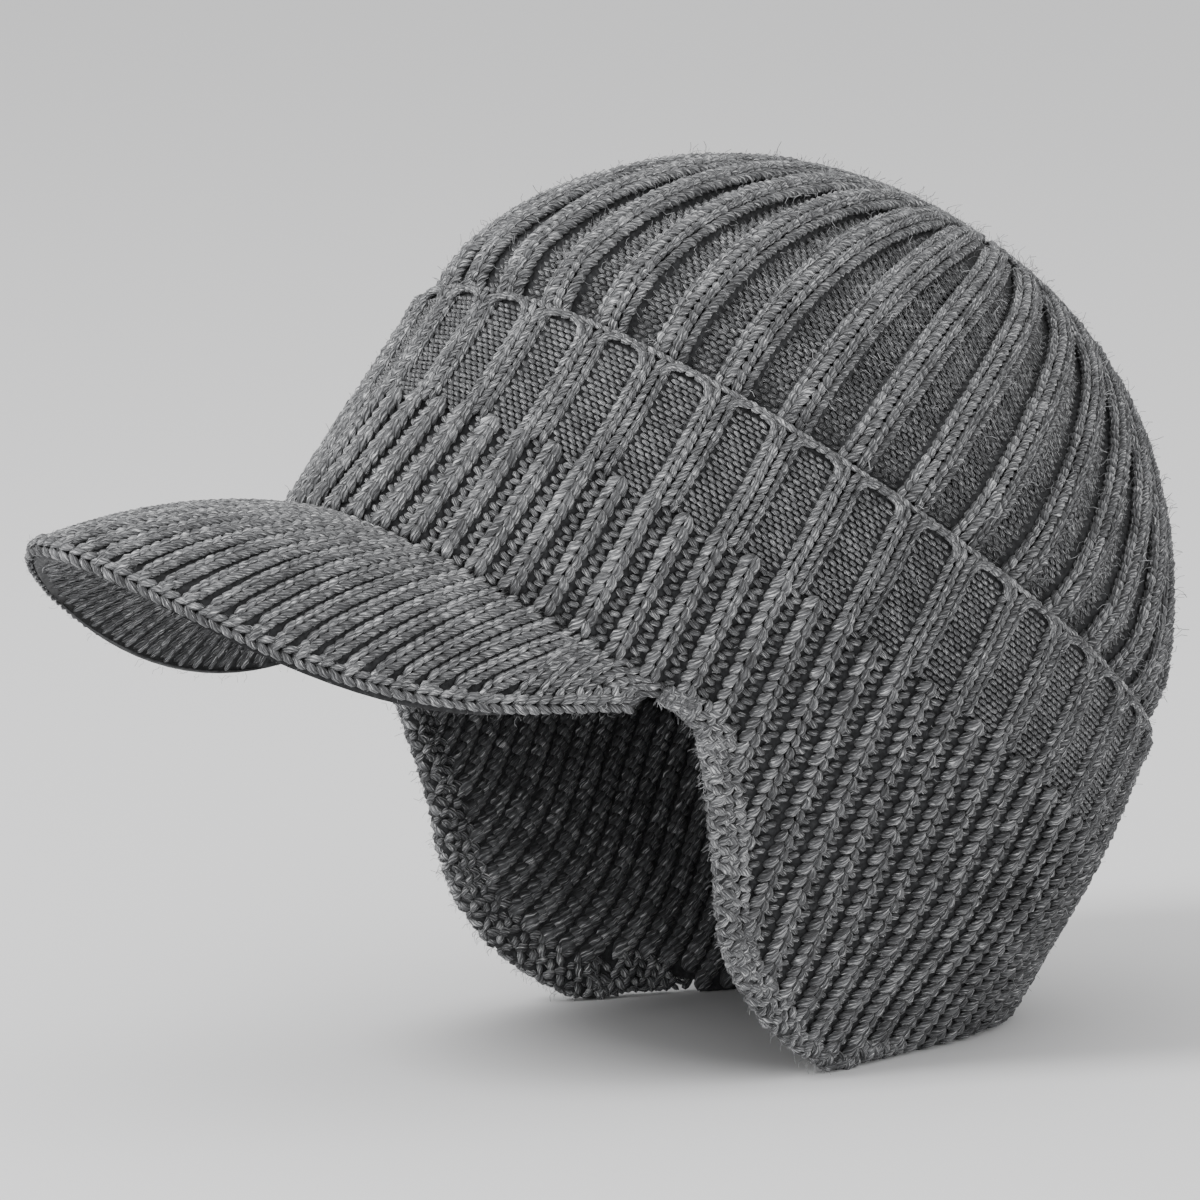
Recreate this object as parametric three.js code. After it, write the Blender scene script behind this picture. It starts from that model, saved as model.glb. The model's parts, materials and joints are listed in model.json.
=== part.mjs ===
import * as THREE from 'three';
import { mergeVertices } from 'three/addons/utils/BufferGeometryUtils.js';

// Knitted winter cap with a peak and ear flaps, standing on the hem of its flaps.
// Millimetres, +Z up. The peak points along -Y and the wearer's left is +X.

// Driving dimensions of the head opening and the crown
const ridge_half_width = 90;
const ridge_half_length = 105.7;
const ridge_height = 115.2;
const ridge_back_lift = 12;
const cap_tilt_deg = 38.7;
const crown_height = 88.6;
const crown_top_back_shift = 14;
const crown_side_forward_sway = 8.8;
const crown_bulge_height = 13;
const crown_tuck = 22;

// Driving dimensions of the knitted fabric
const fabric_thickness = 4.8;
const crown_rib_depth = 2.4;
const window_depth = 1.8;
const cuff_rib_depth = 1.6;
const seam_gap = 0.3;

// Driving dimensions of the band, the cuff and the ear flaps
const band_height = 30;
const ridge_lip = 3.2;
const ridge_rounding = 0.9;
const cuff_side_taper = 0.33;
const cuff_taper_start = 15;
const cuff_taper_length = 85;
const cuff_front_flare = 0.064;
const nape_taper = 0.037;
const nape_flare_per_mm = 0.00255;
const flap_toe_deg = 116;
const edging_width = 5;
const edging_thickness = 5.6;
const edging_gap = 0.6;

// Driving dimensions of the peak
const peak_junction_depth = 63.8;
const peak_corner_deg = 65;
const peak_reach = 116.6;
const peak_thickness = 7.5;
const peak_tip_rise = 36.2;
const peak_side_sag = 37;
const peak_side_skew = 12;
const peak_plan_power = 1.45;
const peak_camber = 4;
const peak_corner_drop = 1.5;
const peak_roll = 0.07;

// Ribs: one double rib and one window to a repeat, and two narrow cuff ribs to the same repeat
const rib_count = 36;
const rib_phase = 0.27;

// Outlines of the crown: shares of its height and width follow these two powers
const crown_height_power = 1.55;
const crown_width_power = 2.2;

// One row for each row of rib points up the crown.
// turn_deg: 0 at the ridge and 90 at the top; tuck: share of the step in under the band;
// relief: share of the full rib depth
const CROWN_OUTER_ROWS = [
  { turn_deg: 5.5, tuck: 0.5, relief: 0.6 },
  { turn_deg: 14, tuck: 0.08, relief: 1 },
  { turn_deg: 28, tuck: 0, relief: 1 },
  { turn_deg: 44, tuck: 0, relief: 1 },
  { turn_deg: 60, tuck: 0, relief: 1 },
  { turn_deg: 74, tuck: 0, relief: 0.9 },
  { turn_deg: 84, tuck: 0, relief: 0.45 },
  { turn_deg: 90, tuck: 0, relief: 0 },
];
const CROWN_INNER_TURNS_DEG = [90, 70, 40, 4];

// Section of one repeat round the cap: place as a share of the repeat, height 1 on a rib
const DOUBLE_RIB_SECTION = [
  { place: -0.27, height: 1 },
  { place: 0.27, height: 1 },
  { place: 0.36, height: 0 },
  { place: 0.64, height: 0 },
];
const NARROW_RIB_SECTION = [
  { place: 0, height: 1 },
  { place: 0.25, height: 0 },
  { place: 0.5, height: 1 },
  { place: 0.75, height: 0 },
];

// Front edge of an ear flap, from the corner of the peak down to the toe on the floor.
// turn: share of the angle from the peak's corner to the toe; drop: share of the way down from
// the seam over the peak to the toe
const FLAP_EDGE = [
  { turn: 0.015, drop: 0.038 },
  { turn: 0.089, drop: 0.047 },
  { turn: 0.191, drop: 0.145 },
  { turn: 0.318, drop: 0.342 },
  { turn: 0.434, drop: 0.55 },
  { turn: 0.556, drop: 0.804 },
  { turn: 0.673, drop: 0.945 },
  { turn: 0.846, drop: 1.024 },
];
// The edging runs on along the floor behind the toe
const HEM_TURNS = [1, 1.1, 1.2, 1.3];

// Rows of points down the cuff, as shares of the way from the band to its lower edge
const CUFF_OUTER_SHARES = [0, 0.17, 0.34, 0.51, 0.68, 0.84, 1];
const CUFF_INNER_SHARES = [1, 0.67, 0.34, 0];

// Narrowing of the edging towards its two ends, as shares of its full width and of its length
const EDGING_END_SHARE = 0.93;
const EDGING_END_WIDTH = 0.35;
const EDGING_END_LENGTH = 0.15;

// How finely the shapes are divided
const PEAK_COLUMNS = 28;
const PEAK_STEPS = 5;
const PEAK_RIM_STEPS = 4;
const EDGING_STEPS = 18;
const EDGING_SIDES = 7;
const RIDGE_SAMPLES = 1440;
const EDGE_SAMPLES = 60;
const HALVINGS = 40;
const SLOPE_STEP = 1e-3;
const MERGE_DISTANCE = 1e-4;

const tilt = THREE.MathUtils.degToRad(cap_tilt_deg);
const corner = THREE.MathUtils.degToRad(peak_corner_deg);
const toe = THREE.MathUtils.degToRad(flap_toe_deg);

// The cap's own frame is tilted back: across to the left, back towards the nape, up along its axis
function fromCap(across, back, up) {
  const y = back * Math.cos(tilt) + up * Math.sin(tilt);
  const z = ridge_height - back * Math.sin(tilt) + up * Math.cos(tilt);
  return new THREE.Vector3(across, y, z);
}

// Side wall below the ridge: angle from the front, depth below the ridge, inset from the outside
function wallPoint(angle, depth, inset) {
  const taper_end = cuff_taper_start + cuff_taper_length;
  const taper = THREE.MathUtils.smoothstep(depth, cuff_taper_start, taper_end);
  const rear = (1 - Math.cos(angle)) / 2;
  const nape = nape_flare_per_mm * depth - nape_taper * taper;
  const flare = THREE.MathUtils.lerp(cuff_front_flare * taper, nape, rear);
  const across = (ridge_half_width * (1 - cuff_side_taper * taper) - inset) * Math.sin(angle);
  const back = -(ridge_half_length * (1 + flare) - inset) * Math.cos(angle);
  return fromCap(across, back, ridge_back_lift * rear * rear - depth);
}

// Domed crown above the ridge: turn runs from 0 at the ridge to a quarter turn at the top
function crownPoint(angle, turn, inset) {
  const spread = Math.max(0, Math.cos(turn)) ** (2 / crown_width_power);
  const rise = Math.sin(turn) ** (2 / crown_height_power);
  const sway = crown_top_back_shift * rise * rise - crown_side_forward_sway * rise;
  const across = (ridge_half_width - inset) * spread * Math.sin(angle);
  const back = -(ridge_half_length - inset) * spread * Math.cos(angle) + sway;
  const rear = (1 - Math.cos(angle)) / 2;
  const lift = ridge_back_lift * rear * rear;
  return fromCap(across, back, THREE.MathUtils.lerp(lift, crown_height - inset, rise));
}

// Depth below the ridge at which the wall meets the floor
function floorDepth(angle, inset) {
  let above = 0;
  let below = 2 * ridge_height;
  for (let step = 0; step < HALVINGS; step += 1) {
    const middle = (above + below) / 2;
    if (wallPoint(angle, middle, inset).z > 0) {
      above = middle;
    } else {
      below = middle;
    }
  }
  return (above + below) / 2;
}

// Angles that space the ribs evenly along the oval ridge
function makeRibAngle() {
  const lengths = [0];
  for (let step = 1; step <= RIDGE_SAMPLES; step += 1) {
    const angle = ((step - 0.5) / RIDGE_SAMPLES) * 2 * Math.PI;
    const across = ridge_half_width * Math.cos(angle);
    const back = ridge_half_length * Math.sin(angle);
    lengths.push(lengths[step - 1] + Math.hypot(across, back));
  }
  return (repeat) => {
    const length = THREE.MathUtils.euclideanModulo(repeat / rib_count, 1) * lengths[RIDGE_SAMPLES];
    const step = Math.max(1, lengths.findIndex((passed) => passed >= length));
    const part = (length - lengths[step - 1]) / (lengths[step] - lengths[step - 1]);
    return ((step - 1 + part) / RIDGE_SAMPLES) * 2 * Math.PI;
  };
}
const ribAngle = makeRibAngle();

// Columns round the cap, each with its angle and whether it lies on a rib or between two
function ribColumns(section) {
  const columns = [];
  for (let rib = 0; rib < rib_count; rib += 1) {
    for (const { place, height } of section) {
      columns.push({ angle: ribAngle(rib + rib_phase + place), height });
    }
  }
  return columns;
}

// Closed solid through a row of closed loops, joined end to end or capped at both ends
function loftSolid(loops, ring) {
  const sides = loops[0].length;
  const positions = loops.flat().flatMap((point) => [point.x, point.y, point.z]);
  const faces = [];
  const spans = ring ? loops.length : loops.length - 1;
  for (let span = 0; span < spans; span += 1) {
    const here = span * sides;
    const next = ((span + 1) % loops.length) * sides;
    for (let side = 0; side < sides; side += 1) {
      const other = (side + 1) % sides;
      faces.push([here + side, here + other, next + other]);
      faces.push([here + side, next + other, next + side]);
    }
  }
  if (!ring) {
    const last = (loops.length - 1) * sides;
    for (let side = 1; side < sides - 1; side += 1) {
      faces.push([0, side + 1, side]);
      faces.push([last, last + side, last + side + 1]);
    }
  }
  return closedGeometry(positions, faces);
}

// Indexed geometry with merged points, no empty faces and all faces pointing out
function closedGeometry(positions, faces) {
  const loose = new THREE.BufferGeometry();
  loose.setAttribute('position', new THREE.Float32BufferAttribute(positions, 3));
  loose.setIndex(faces.flat());
  const merged = mergeVertices(loose, MERGE_DISTANCE);
  const index = Array.from(merged.index.array);
  const kept = [];
  for (let at = 0; at < index.length; at += 3) {
    const [a, b, c] = index.slice(at, at + 3);
    if (a !== b && b !== c && c !== a) {
      kept.push([a, b, c]);
    }
  }
  const corners = [0, 1, 2].map(() => new THREE.Vector3());
  let volume = 0;
  for (const face of kept) {
    face.forEach((point, place) => {
      corners[place].fromBufferAttribute(merged.attributes.position, point);
    });
    volume += corners[0].dot(corners[1].cross(corners[2])) / 6;
  }
  const outward = volume > 0 ? kept : kept.map(([a, b, c]) => [a, c, b]);
  merged.setIndex(outward.flat());
  merged.computeVertexNormals();
  return merged;
}

// Crown: ribbed dome whose lower edge is tucked inside the band
function crownGeometry() {
  const tucked = fabric_thickness + seam_gap;
  const tuck_rows = [crown_tuck, crown_tuck / 2, 0];
  const loops = ribColumns(DOUBLE_RIB_SECTION).map(({ angle, height }) => {
    const loop = tuck_rows.map((depth) => wallPoint(angle, depth, tucked));
    for (const { turn_deg, tuck, relief } of CROWN_OUTER_ROWS) {
      const inset = tuck * tucked + relief * crown_rib_depth * (1 - height);
      loop.push(crownPoint(angle, THREE.MathUtils.degToRad(turn_deg), inset));
    }
    const inside = tucked + fabric_thickness - crown_rib_depth / 2;
    for (const turn_deg of CROWN_INNER_TURNS_DEG) {
      const turn = THREE.MathUtils.degToRad(turn_deg);
      const share = Math.min(1, (crown_height * Math.sin(turn)) / crown_bulge_height);
      loop.push(crownPoint(angle, turn, THREE.MathUtils.lerp(inside, fabric_thickness, share)));
    }
    loop.push(wallPoint(angle, crown_tuck, inside));
    return loop;
  });
  return loftSolid(loops, true);
}

// Band: turned-up strip of windows between double ribs, with a rounded ridge along its top
function bandGeometry() {
  const loops = ribColumns(DOUBLE_RIB_SECTION).map(({ angle, height }) => {
    const recess = window_depth * (1 - height);
    return [
      wallPoint(angle, band_height, recess),
      wallPoint(angle, ridge_lip, recess),
      wallPoint(angle, ridge_rounding, 0),
      wallPoint(angle, 0, ridge_rounding),
      wallPoint(angle, 0, fabric_thickness - ridge_rounding),
      wallPoint(angle, crown_tuck / 2, fabric_thickness),
      wallPoint(angle, crown_tuck, fabric_thickness),
      wallPoint(angle, band_height, fabric_thickness),
    ];
  });
  return loftSolid(loops, true);
}

// Front edge of the left ear flap, and the hem behind its toe, as one curve of angle and depth
const toe_depth = floorDepth(toe, 0);
const turnAngle = (turn) => THREE.MathUtils.lerp(corner, toe, turn);
const dropDepth = (drop) => THREE.MathUtils.lerp(peak_junction_depth, toe_depth, drop);
const edgePoints = [
  ...FLAP_EDGE.map(({ turn, drop }) => [turnAngle(turn), dropDepth(drop)]),
  ...HEM_TURNS.map((turn) => [turnAngle(turn), floorDepth(turnAngle(turn), 0)]),
];
const flapEdge = new THREE.CatmullRomCurve3(
  edgePoints.map(([angle, depth]) => new THREE.Vector3(angle, depth, 0)),
);

// Width of the edging as a share of its full width, narrower at its two ends
function edgingSwell(share) {
  const from_end = Math.min(share, 1 - share);
  return THREE.MathUtils.lerp(EDGING_END_WIDTH, 1, Math.min(1, from_end / EDGING_END_LENGTH));
}

// Point of the flap's edge moved a distance in from the edge along the fabric
function insetEdge(share, distance) {
  const step = SLOPE_STEP;
  const at = flapEdge.getPoint(share);
  const ahead = flapEdge.getPoint(Math.min(1, share + step));
  const behind = flapEdge.getPoint(Math.max(0, share - step));
  const here = wallPoint(at.x, at.y, 0);
  const alongAngle = wallPoint(at.x + step, at.y, 0).sub(here).divideScalar(step);
  const alongDepth = wallPoint(at.x, at.y + step, 0).sub(here).divideScalar(step);
  const run = wallPoint(ahead.x, ahead.y, 0).sub(wallPoint(behind.x, behind.y, 0)).normalize();
  const outward = new THREE.Vector3().crossVectors(alongDepth, alongAngle).normalize();
  const inward = new THREE.Vector3().crossVectors(outward, run);
  const turn = inward.dot(alongAngle) / alongAngle.lengthSq();
  const drop = inward.dot(alongDepth) / alongDepth.lengthSq();
  return { angle: at.x + turn * distance, depth: at.y + drop * distance, run, outward };
}

// Depth of the cuff's lower edge: over the peak, then along the edging, then on the floor
const cuffEdge = [];
for (let step = 0; step <= EDGE_SAMPLES; step += 1) {
  const share = step / EDGE_SAMPLES;
  cuffEdge.push(insetEdge(share, edging_width * edgingSwell(share) + edging_gap));
}
function cuffDepth(angle, inset) {
  const side = Math.min(angle, 2 * Math.PI - angle);
  if (side <= corner) {
    return peak_junction_depth;
  }
  const ground = floorDepth(side, inset);
  const after = cuffEdge.findIndex((point) => point.angle > side);
  if (after < 0) {
    return ground;
  }
  const start = { angle: corner, depth: peak_junction_depth };
  const low = after === 0 ? start : cuffEdge[after - 1];
  const high = cuffEdge[after];
  const part = (side - low.angle) / (high.angle - low.angle);
  return Math.min(ground, THREE.MathUtils.lerp(low.depth, high.depth, part));
}

// Cuff: narrow ribs from the band down to the peak, the ear flaps and the nape
function cuffGeometry() {
  const top = band_height + seam_gap;
  const loops = ribColumns(NARROW_RIB_SECTION).map(({ angle, height }) => {
    const groove = cuff_rib_depth * (1 - height);
    const outer_edge = cuffDepth(angle, groove);
    const inner_edge = cuffDepth(angle, fabric_thickness);
    const outer = CUFF_OUTER_SHARES.map((share) => (
      wallPoint(angle, THREE.MathUtils.lerp(top, outer_edge, share), groove)
    ));
    const inner = CUFF_INNER_SHARES.map((share) => (
      wallPoint(angle, THREE.MathUtils.lerp(top, inner_edge, share), fabric_thickness)
    ));
    return [...outer, ...inner];
  });
  return loftSolid(loops, true);
}

// Lower line of the peak's rim: turn runs from minus to plus a quarter turn across the peak
function rimPoint(turn) {
  const end_depth = peak_junction_depth + seam_gap + peak_thickness + peak_corner_drop;
  const end = wallPoint(corner, end_depth, fabric_thickness / 2);
  const across = end.x * Math.sin(turn);
  const low = Math.sin(turn) ** 2;
  const arch = low * (1 - low);
  const sag = (peak_side_sag - peak_side_skew * (1 - 2 * low)) * arch;
  const lift = peak_tip_rise * (1 - low) - sag + peak_roll * across * Math.cos(turn);
  const forward = peak_reach * Math.max(0, Math.cos(turn)) ** peak_plan_power;
  return new THREE.Vector3(across, end.y - forward, end.z + lift);
}

// Rise of an arch from one end to the other, 1 at its middle
function bulge(share) {
  return 4 * share * (1 - share);
}

// Peak: padded bill that springs from under the cuff's front edge
function peakGeometry() {
  const loops = [];
  for (let column = 0; column <= PEAK_COLUMNS; column += 1) {
    const side = (2 * column) / PEAK_COLUMNS - 1;
    const middling = Math.cos((side * Math.PI) / 2);
    const angle = side * corner;
    const top_depth = peak_junction_depth + seam_gap;
    const seat = wallPoint(angle, top_depth, fabric_thickness);
    const lip = wallPoint(angle, top_depth, cuff_rib_depth / 2);
    const heel = wallPoint(angle, top_depth + peak_thickness, fabric_thickness);
    const rim = rimPoint((side * Math.PI) / 2);
    const up = new THREE.Vector3().subVectors(lip, heel).setLength(peak_thickness / 2);
    up.lerp(new THREE.Vector3(0, 0, peak_thickness / 2), middling);
    const middle = rim.clone().add(up);
    const out = middle.clone().sub(lip).projectOnPlane(up.clone().normalize());
    out.setLength(Math.min(peak_thickness / 2, out.length() / 2));
    const hub = middle.clone().sub(out);
    const camber = up.clone().multiplyScalar((peak_camber * middling) / (peak_thickness / 2));
    const loop = [seat];
    for (let step = 0; step < PEAK_STEPS; step += 1) {
      const share = step / PEAK_STEPS;
      const place = lip.clone().lerp(hub.clone().add(up), share);
      loop.push(place.addScaledVector(camber, bulge(share)));
    }
    for (let step = 0; step <= PEAK_RIM_STEPS; step += 1) {
      const turn = (step / PEAK_RIM_STEPS) * Math.PI;
      const place = hub.clone().addScaledVector(up, Math.cos(turn));
      loop.push(place.addScaledVector(out, Math.sin(turn)));
    }
    for (let step = 1; step <= PEAK_STEPS; step += 1) {
      const share = step / PEAK_STEPS;
      const place = hub.clone().sub(up).lerp(heel, share);
      loop.push(place.addScaledVector(camber, bulge(share)));
    }
    loops.push(loop);
  }
  return loftSolid(loops, false);
}

// Edging: rounded selvedge along the front edge of one ear flap, tapered at both ends
function edgingGeometry(side) {
  const loops = [];
  for (let step = 0; step <= EDGING_STEPS; step += 1) {
    const share = (EDGING_END_SHARE * step) / EDGING_STEPS;
    const swell = edgingSwell(share);
    const { angle, depth, run, outward } = insetEdge(share, (edging_width * swell) / 2);
    const centre = wallPoint(angle, depth, fabric_thickness / 2);
    const across = new THREE.Vector3().crossVectors(run, outward);
    const loop = [];
    for (let point = 0; point < EDGING_SIDES; point += 1) {
      const turn = (point / EDGING_SIDES) * 2 * Math.PI;
      const place = centre.clone();
      place.addScaledVector(across, (edging_width / 2) * swell * Math.cos(turn));
      place.addScaledVector(outward, (edging_thickness / 2) * swell * Math.sin(turn));
      loop.push(new THREE.Vector3(side * place.x, place.y, Math.max(0, place.z)));
    }
    loops.push(loop);
  }
  return loftSolid(loops, false);
}

// One named mesh of grey wool yarn
function woolMesh(name, geometry, shade) {
  const material = new THREE.MeshStandardMaterial({ color: shade, roughness: 0.95, metalness: 0 });
  const mesh = new THREE.Mesh(geometry, material);
  mesh.name = name;
  return mesh;
}

// The cap stands with the middle of its bounding box over the origin and its hem on the floor
function buildCap() {
  const cap = new THREE.Group();
  cap.add(woolMesh('crown', crownGeometry(), 0x5c5d5f));
  cap.add(woolMesh('window_band', bandGeometry(), 0x5f6062));
  cap.add(woolMesh('ear_flap_cuff', cuffGeometry(), 0x57585a));
  cap.add(woolMesh('peak', peakGeometry(), 0x5a5b5d));
  cap.add(woolMesh('flap_edging_left', edgingGeometry(1), 0x626365));
  cap.add(woolMesh('flap_edging_right', edgingGeometry(-1), 0x626365));
  const box = new THREE.Box3().setFromObject(cap);
  cap.position.set(0, -(box.min.y + box.max.y) / 2, -box.min.z);
  const assembly = new THREE.Group();
  assembly.add(cap);
  return assembly;
}

export default buildCap();
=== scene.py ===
# %% [markdown]
# # A knitted winter cap, stitch by stitch
# The cap is one tube of thick grey wool. It is domed at the top, turned up round the head and
# drawn out into two ear flaps, with a padded peak sewn under the front. The look comes from its
# stitches, so this script makes thousands of small yarn loops and sets them on the cap's form.
# Everything is in metres, on the same axes as the solid model that is loaded here.

# %% Load the solid model
import json
import math

import bpy
import numpy as np
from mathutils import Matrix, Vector

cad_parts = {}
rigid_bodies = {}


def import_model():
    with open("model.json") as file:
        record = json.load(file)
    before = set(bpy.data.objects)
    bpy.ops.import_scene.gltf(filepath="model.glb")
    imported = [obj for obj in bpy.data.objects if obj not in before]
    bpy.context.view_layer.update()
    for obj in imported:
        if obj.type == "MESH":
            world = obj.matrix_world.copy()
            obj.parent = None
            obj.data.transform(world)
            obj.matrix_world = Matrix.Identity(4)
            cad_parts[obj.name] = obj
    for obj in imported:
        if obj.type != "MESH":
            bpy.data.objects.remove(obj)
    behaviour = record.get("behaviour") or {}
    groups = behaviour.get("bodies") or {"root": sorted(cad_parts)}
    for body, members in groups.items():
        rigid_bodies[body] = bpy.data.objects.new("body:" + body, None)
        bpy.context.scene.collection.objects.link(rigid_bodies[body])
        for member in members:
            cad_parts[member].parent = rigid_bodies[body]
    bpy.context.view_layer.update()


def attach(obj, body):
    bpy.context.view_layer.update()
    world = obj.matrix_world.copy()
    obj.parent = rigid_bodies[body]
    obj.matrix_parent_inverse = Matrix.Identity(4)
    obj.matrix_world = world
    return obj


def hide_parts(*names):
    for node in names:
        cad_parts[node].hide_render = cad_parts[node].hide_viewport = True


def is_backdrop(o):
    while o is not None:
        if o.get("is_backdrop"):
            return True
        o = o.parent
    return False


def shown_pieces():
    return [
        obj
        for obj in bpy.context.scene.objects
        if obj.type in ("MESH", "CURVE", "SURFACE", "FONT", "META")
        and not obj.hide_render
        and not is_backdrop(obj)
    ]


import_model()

# %% [markdown]
# ## The form of the cap
# A knitted cap is a tube, so every point of it has an angle round the head and a distance down
# the cloth. The functions below are the same ones that shape the solid model: a slanted oval
# ridge, a wall that hangs from it and a dome above it. They take whole arrays of angles, so one
# call gives the places of a thousand stitches.

# %% Sizes of the form
MM = 0.001
RIDGE_HALF_WIDTH = 90 * MM
RIDGE_HALF_LENGTH = 105.7 * MM
RIDGE_HEIGHT = 115.2 * MM
RIDGE_BACK_LIFT = 12 * MM
CAP_TILT = math.radians(38.7)
CAP_SHIFT = 50.0009 * MM
CROWN_HEIGHT = 88.6 * MM
CROWN_TOP_BACK_SHIFT = 14 * MM
CROWN_SIDE_FORWARD_SWAY = 8.8 * MM
CROWN_HEIGHT_POWER = 1.55
CROWN_WIDTH_POWER = 2.2
CROWN_TUCK = 22 * MM
TWO_PI = 2 * math.pi
FABRIC = 4.8 * MM
SEAM_GAP = 0.3 * MM
BAND_HEIGHT = 30 * MM
CUFF_SIDE_TAPER = 0.33
CUFF_TAPER_START = 15 * MM
CUFF_TAPER_LENGTH = 85 * MM
CUFF_FRONT_FLARE = 0.064
NAPE_TAPER = 0.037
NAPE_FLARE = 2.55
RIB_COUNT = 36
RIB_PHASE = 0.27


# %% The wall and the dome
def smoothstep(value, low, high):
    share = np.clip((value - low) / (high - low), 0, 1)
    return share * share * (3 - 2 * share)


def stack(x, y, z):
    return np.stack(np.broadcast_arrays(x, y, z), axis=-1)


def from_cap(across, back, up):
    y = CAP_SHIFT + back * math.cos(CAP_TILT) + up * math.sin(CAP_TILT)
    z = RIDGE_HEIGHT - back * math.sin(CAP_TILT) + up * math.cos(CAP_TILT)
    return stack(across, y, z)


def wall_point(angle, depth, inset):
    taper = smoothstep(depth, CUFF_TAPER_START, CUFF_TAPER_START + CUFF_TAPER_LENGTH)
    rear = (1 - np.cos(angle)) / 2
    nape = NAPE_FLARE * depth - NAPE_TAPER * taper
    flare = CUFF_FRONT_FLARE * taper * (1 - rear) + nape * rear
    across = (RIDGE_HALF_WIDTH * (1 - CUFF_SIDE_TAPER * taper) - inset) * np.sin(angle)
    back = -(RIDGE_HALF_LENGTH * (1 + flare) - inset) * np.cos(angle)
    return from_cap(across, back, RIDGE_BACK_LIFT * rear * rear - depth)


def crown_point(angle, turn, inset):
    spread = np.maximum(0, np.cos(turn)) ** (2 / CROWN_WIDTH_POWER)
    rise = np.sin(turn) ** (2 / CROWN_HEIGHT_POWER)
    sway = CROWN_TOP_BACK_SHIFT * rise * rise - CROWN_SIDE_FORWARD_SWAY * rise
    across = (RIDGE_HALF_WIDTH - inset) * spread * np.sin(angle)
    back = -(RIDGE_HALF_LENGTH - inset) * spread * np.cos(angle) + sway
    rear = (1 - np.cos(angle)) / 2
    lift = RIDGE_BACK_LIFT * rear * rear
    return from_cap(across, back, lift + (CROWN_HEIGHT - inset - lift) * rise)


ridge_front, ridge_back = wall_point(0.0, 0.0, 0.0), wall_point(math.pi, 0.0, 0.0)
print("ridge at the front", ridge_front, "and at the back", ridge_back)

# %% [markdown]
# The ribs are spaced evenly along the oval ridge, not by angle, because a knitting machine makes
# every stitch equally wide. A table of the distance round the oval turns a rib's number into its
# angle.

# %% Angles of the ribs
OVAL_SAMPLES = 2880
oval_angles = np.linspace(0, TWO_PI, OVAL_SAMPLES + 1)
middles = (oval_angles[1:] + oval_angles[:-1]) / 2
oval_pieces = np.hypot(RIDGE_HALF_WIDTH * np.cos(middles), RIDGE_HALF_LENGTH * np.sin(middles))
oval_lengths = np.concatenate([[0], np.cumsum(oval_pieces * TWO_PI / OVAL_SAMPLES)])


def rib_angle(repeat):
    laps = np.floor(np.asarray(repeat) / RIB_COUNT)
    share = np.asarray(repeat) / RIB_COUNT - laps
    return laps * TWO_PI + np.interp(share * oval_lengths[-1], oval_lengths, oval_angles)


print("round the ridge", round(oval_lengths[-1], 4), "m")
print("a double rib every", round(oval_lengths[-1] / RIB_COUNT, 4), "m")

# %% Depth of the floor below each angle
GROUND_ANGLES = np.linspace(0, math.pi, 361)
HALVINGS = 40


def floor_depth(angle, inset):
    """Distance down the wall to the floor, found by halving."""
    above, below = np.zeros(angle.shape), np.full(angle.shape, 2 * RIDGE_HEIGHT)
    for _ in range(HALVINGS):
        middle = (above + below) / 2
        high = wall_point(angle, middle, inset)[..., 2] > 0
        above, below = np.where(high, middle, above), np.where(high, below, middle)
    return (above + below) / 2


ground_outside = floor_depth(GROUND_ANGLES, 0.0)
ground_inside = floor_depth(GROUND_ANGLES, FABRIC)


def fold_angle(angle):
    """Angle from the front on either side, 0 to 180 degrees."""
    side = np.mod(angle, TWO_PI)
    return np.minimum(side, TWO_PI - side)


def ground(angle, inset):
    side = fold_angle(angle)
    outside = np.interp(side, GROUND_ANGLES, ground_outside)
    return outside + (np.interp(side, GROUND_ANGLES, ground_inside) - outside) * inset / FABRIC


print("depth of the floor at the side", round(float(ground(math.pi / 2, 0.0)), 4))

# %% [markdown]
# The ribs do not run straight down the wall. The cloth is stretched over the ears, so a rib
# drifts back on its way down the outside, and on the crown the side ribs lean back before they
# gather. A drift is the angle between a rib and the straight line. Small steps add it up into a
# table, and the table turns a rib's number and a distance along the cloth into an angle.

# %% Drift of the ribs
DRIFT_STEPS = 161
DRIFT_NUDGE = 1e-4
WALL_LENGTH = 160 * MM
BAND_DRIFT_DEGREES = 7
CUFF_DRIFT_DEGREES = 18
CUFF_DRIFT_DEPTHS = 15 * MM, 45 * MM
HEM_DRIFT_HEIGHTS = 16 * MM, 55 * MM
FRONT_DRIFT_LOSS = 0.12
INNER_DRIFT_DEGREES = 4
INNER_LOW_DRIFT_DEGREES = 18
INNER_DRIFT_DEPTHS = 60 * MM, 105 * MM
CROWN_DRIFT_DEGREES = 10
CROWN_FRONT_DRIFT_DEGREES = 6
GATHER_TURNS = math.radians(44), math.radians(64)


def wall_drift(angle, depth):
    lower = BAND_DRIFT_DEGREES + CUFF_DRIFT_DEGREES * smoothstep(depth, *CUFF_DRIFT_DEPTHS)
    above_hem = smoothstep(ground(angle, 0.0) - depth, *HEM_DRIFT_HEIGHTS)
    return np.radians(np.sin(angle) * (1 - FRONT_DRIFT_LOSS * np.cos(angle)) * lower * above_hem)


def inner_drift(angle, depth):
    lower = INNER_DRIFT_DEGREES + INNER_LOW_DRIFT_DEGREES * smoothstep(depth, *INNER_DRIFT_DEPTHS)
    return np.radians(-np.sin(angle) * lower)


def crown_drift(angle, turn):
    sideways = CROWN_DRIFT_DEGREES * np.sin(angle) - CROWN_FRONT_DRIFT_DEGREES * np.sin(2 * angle)
    return np.radians(sideways * (1 - smoothstep(turn, *GATHER_TURNS)))


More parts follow.
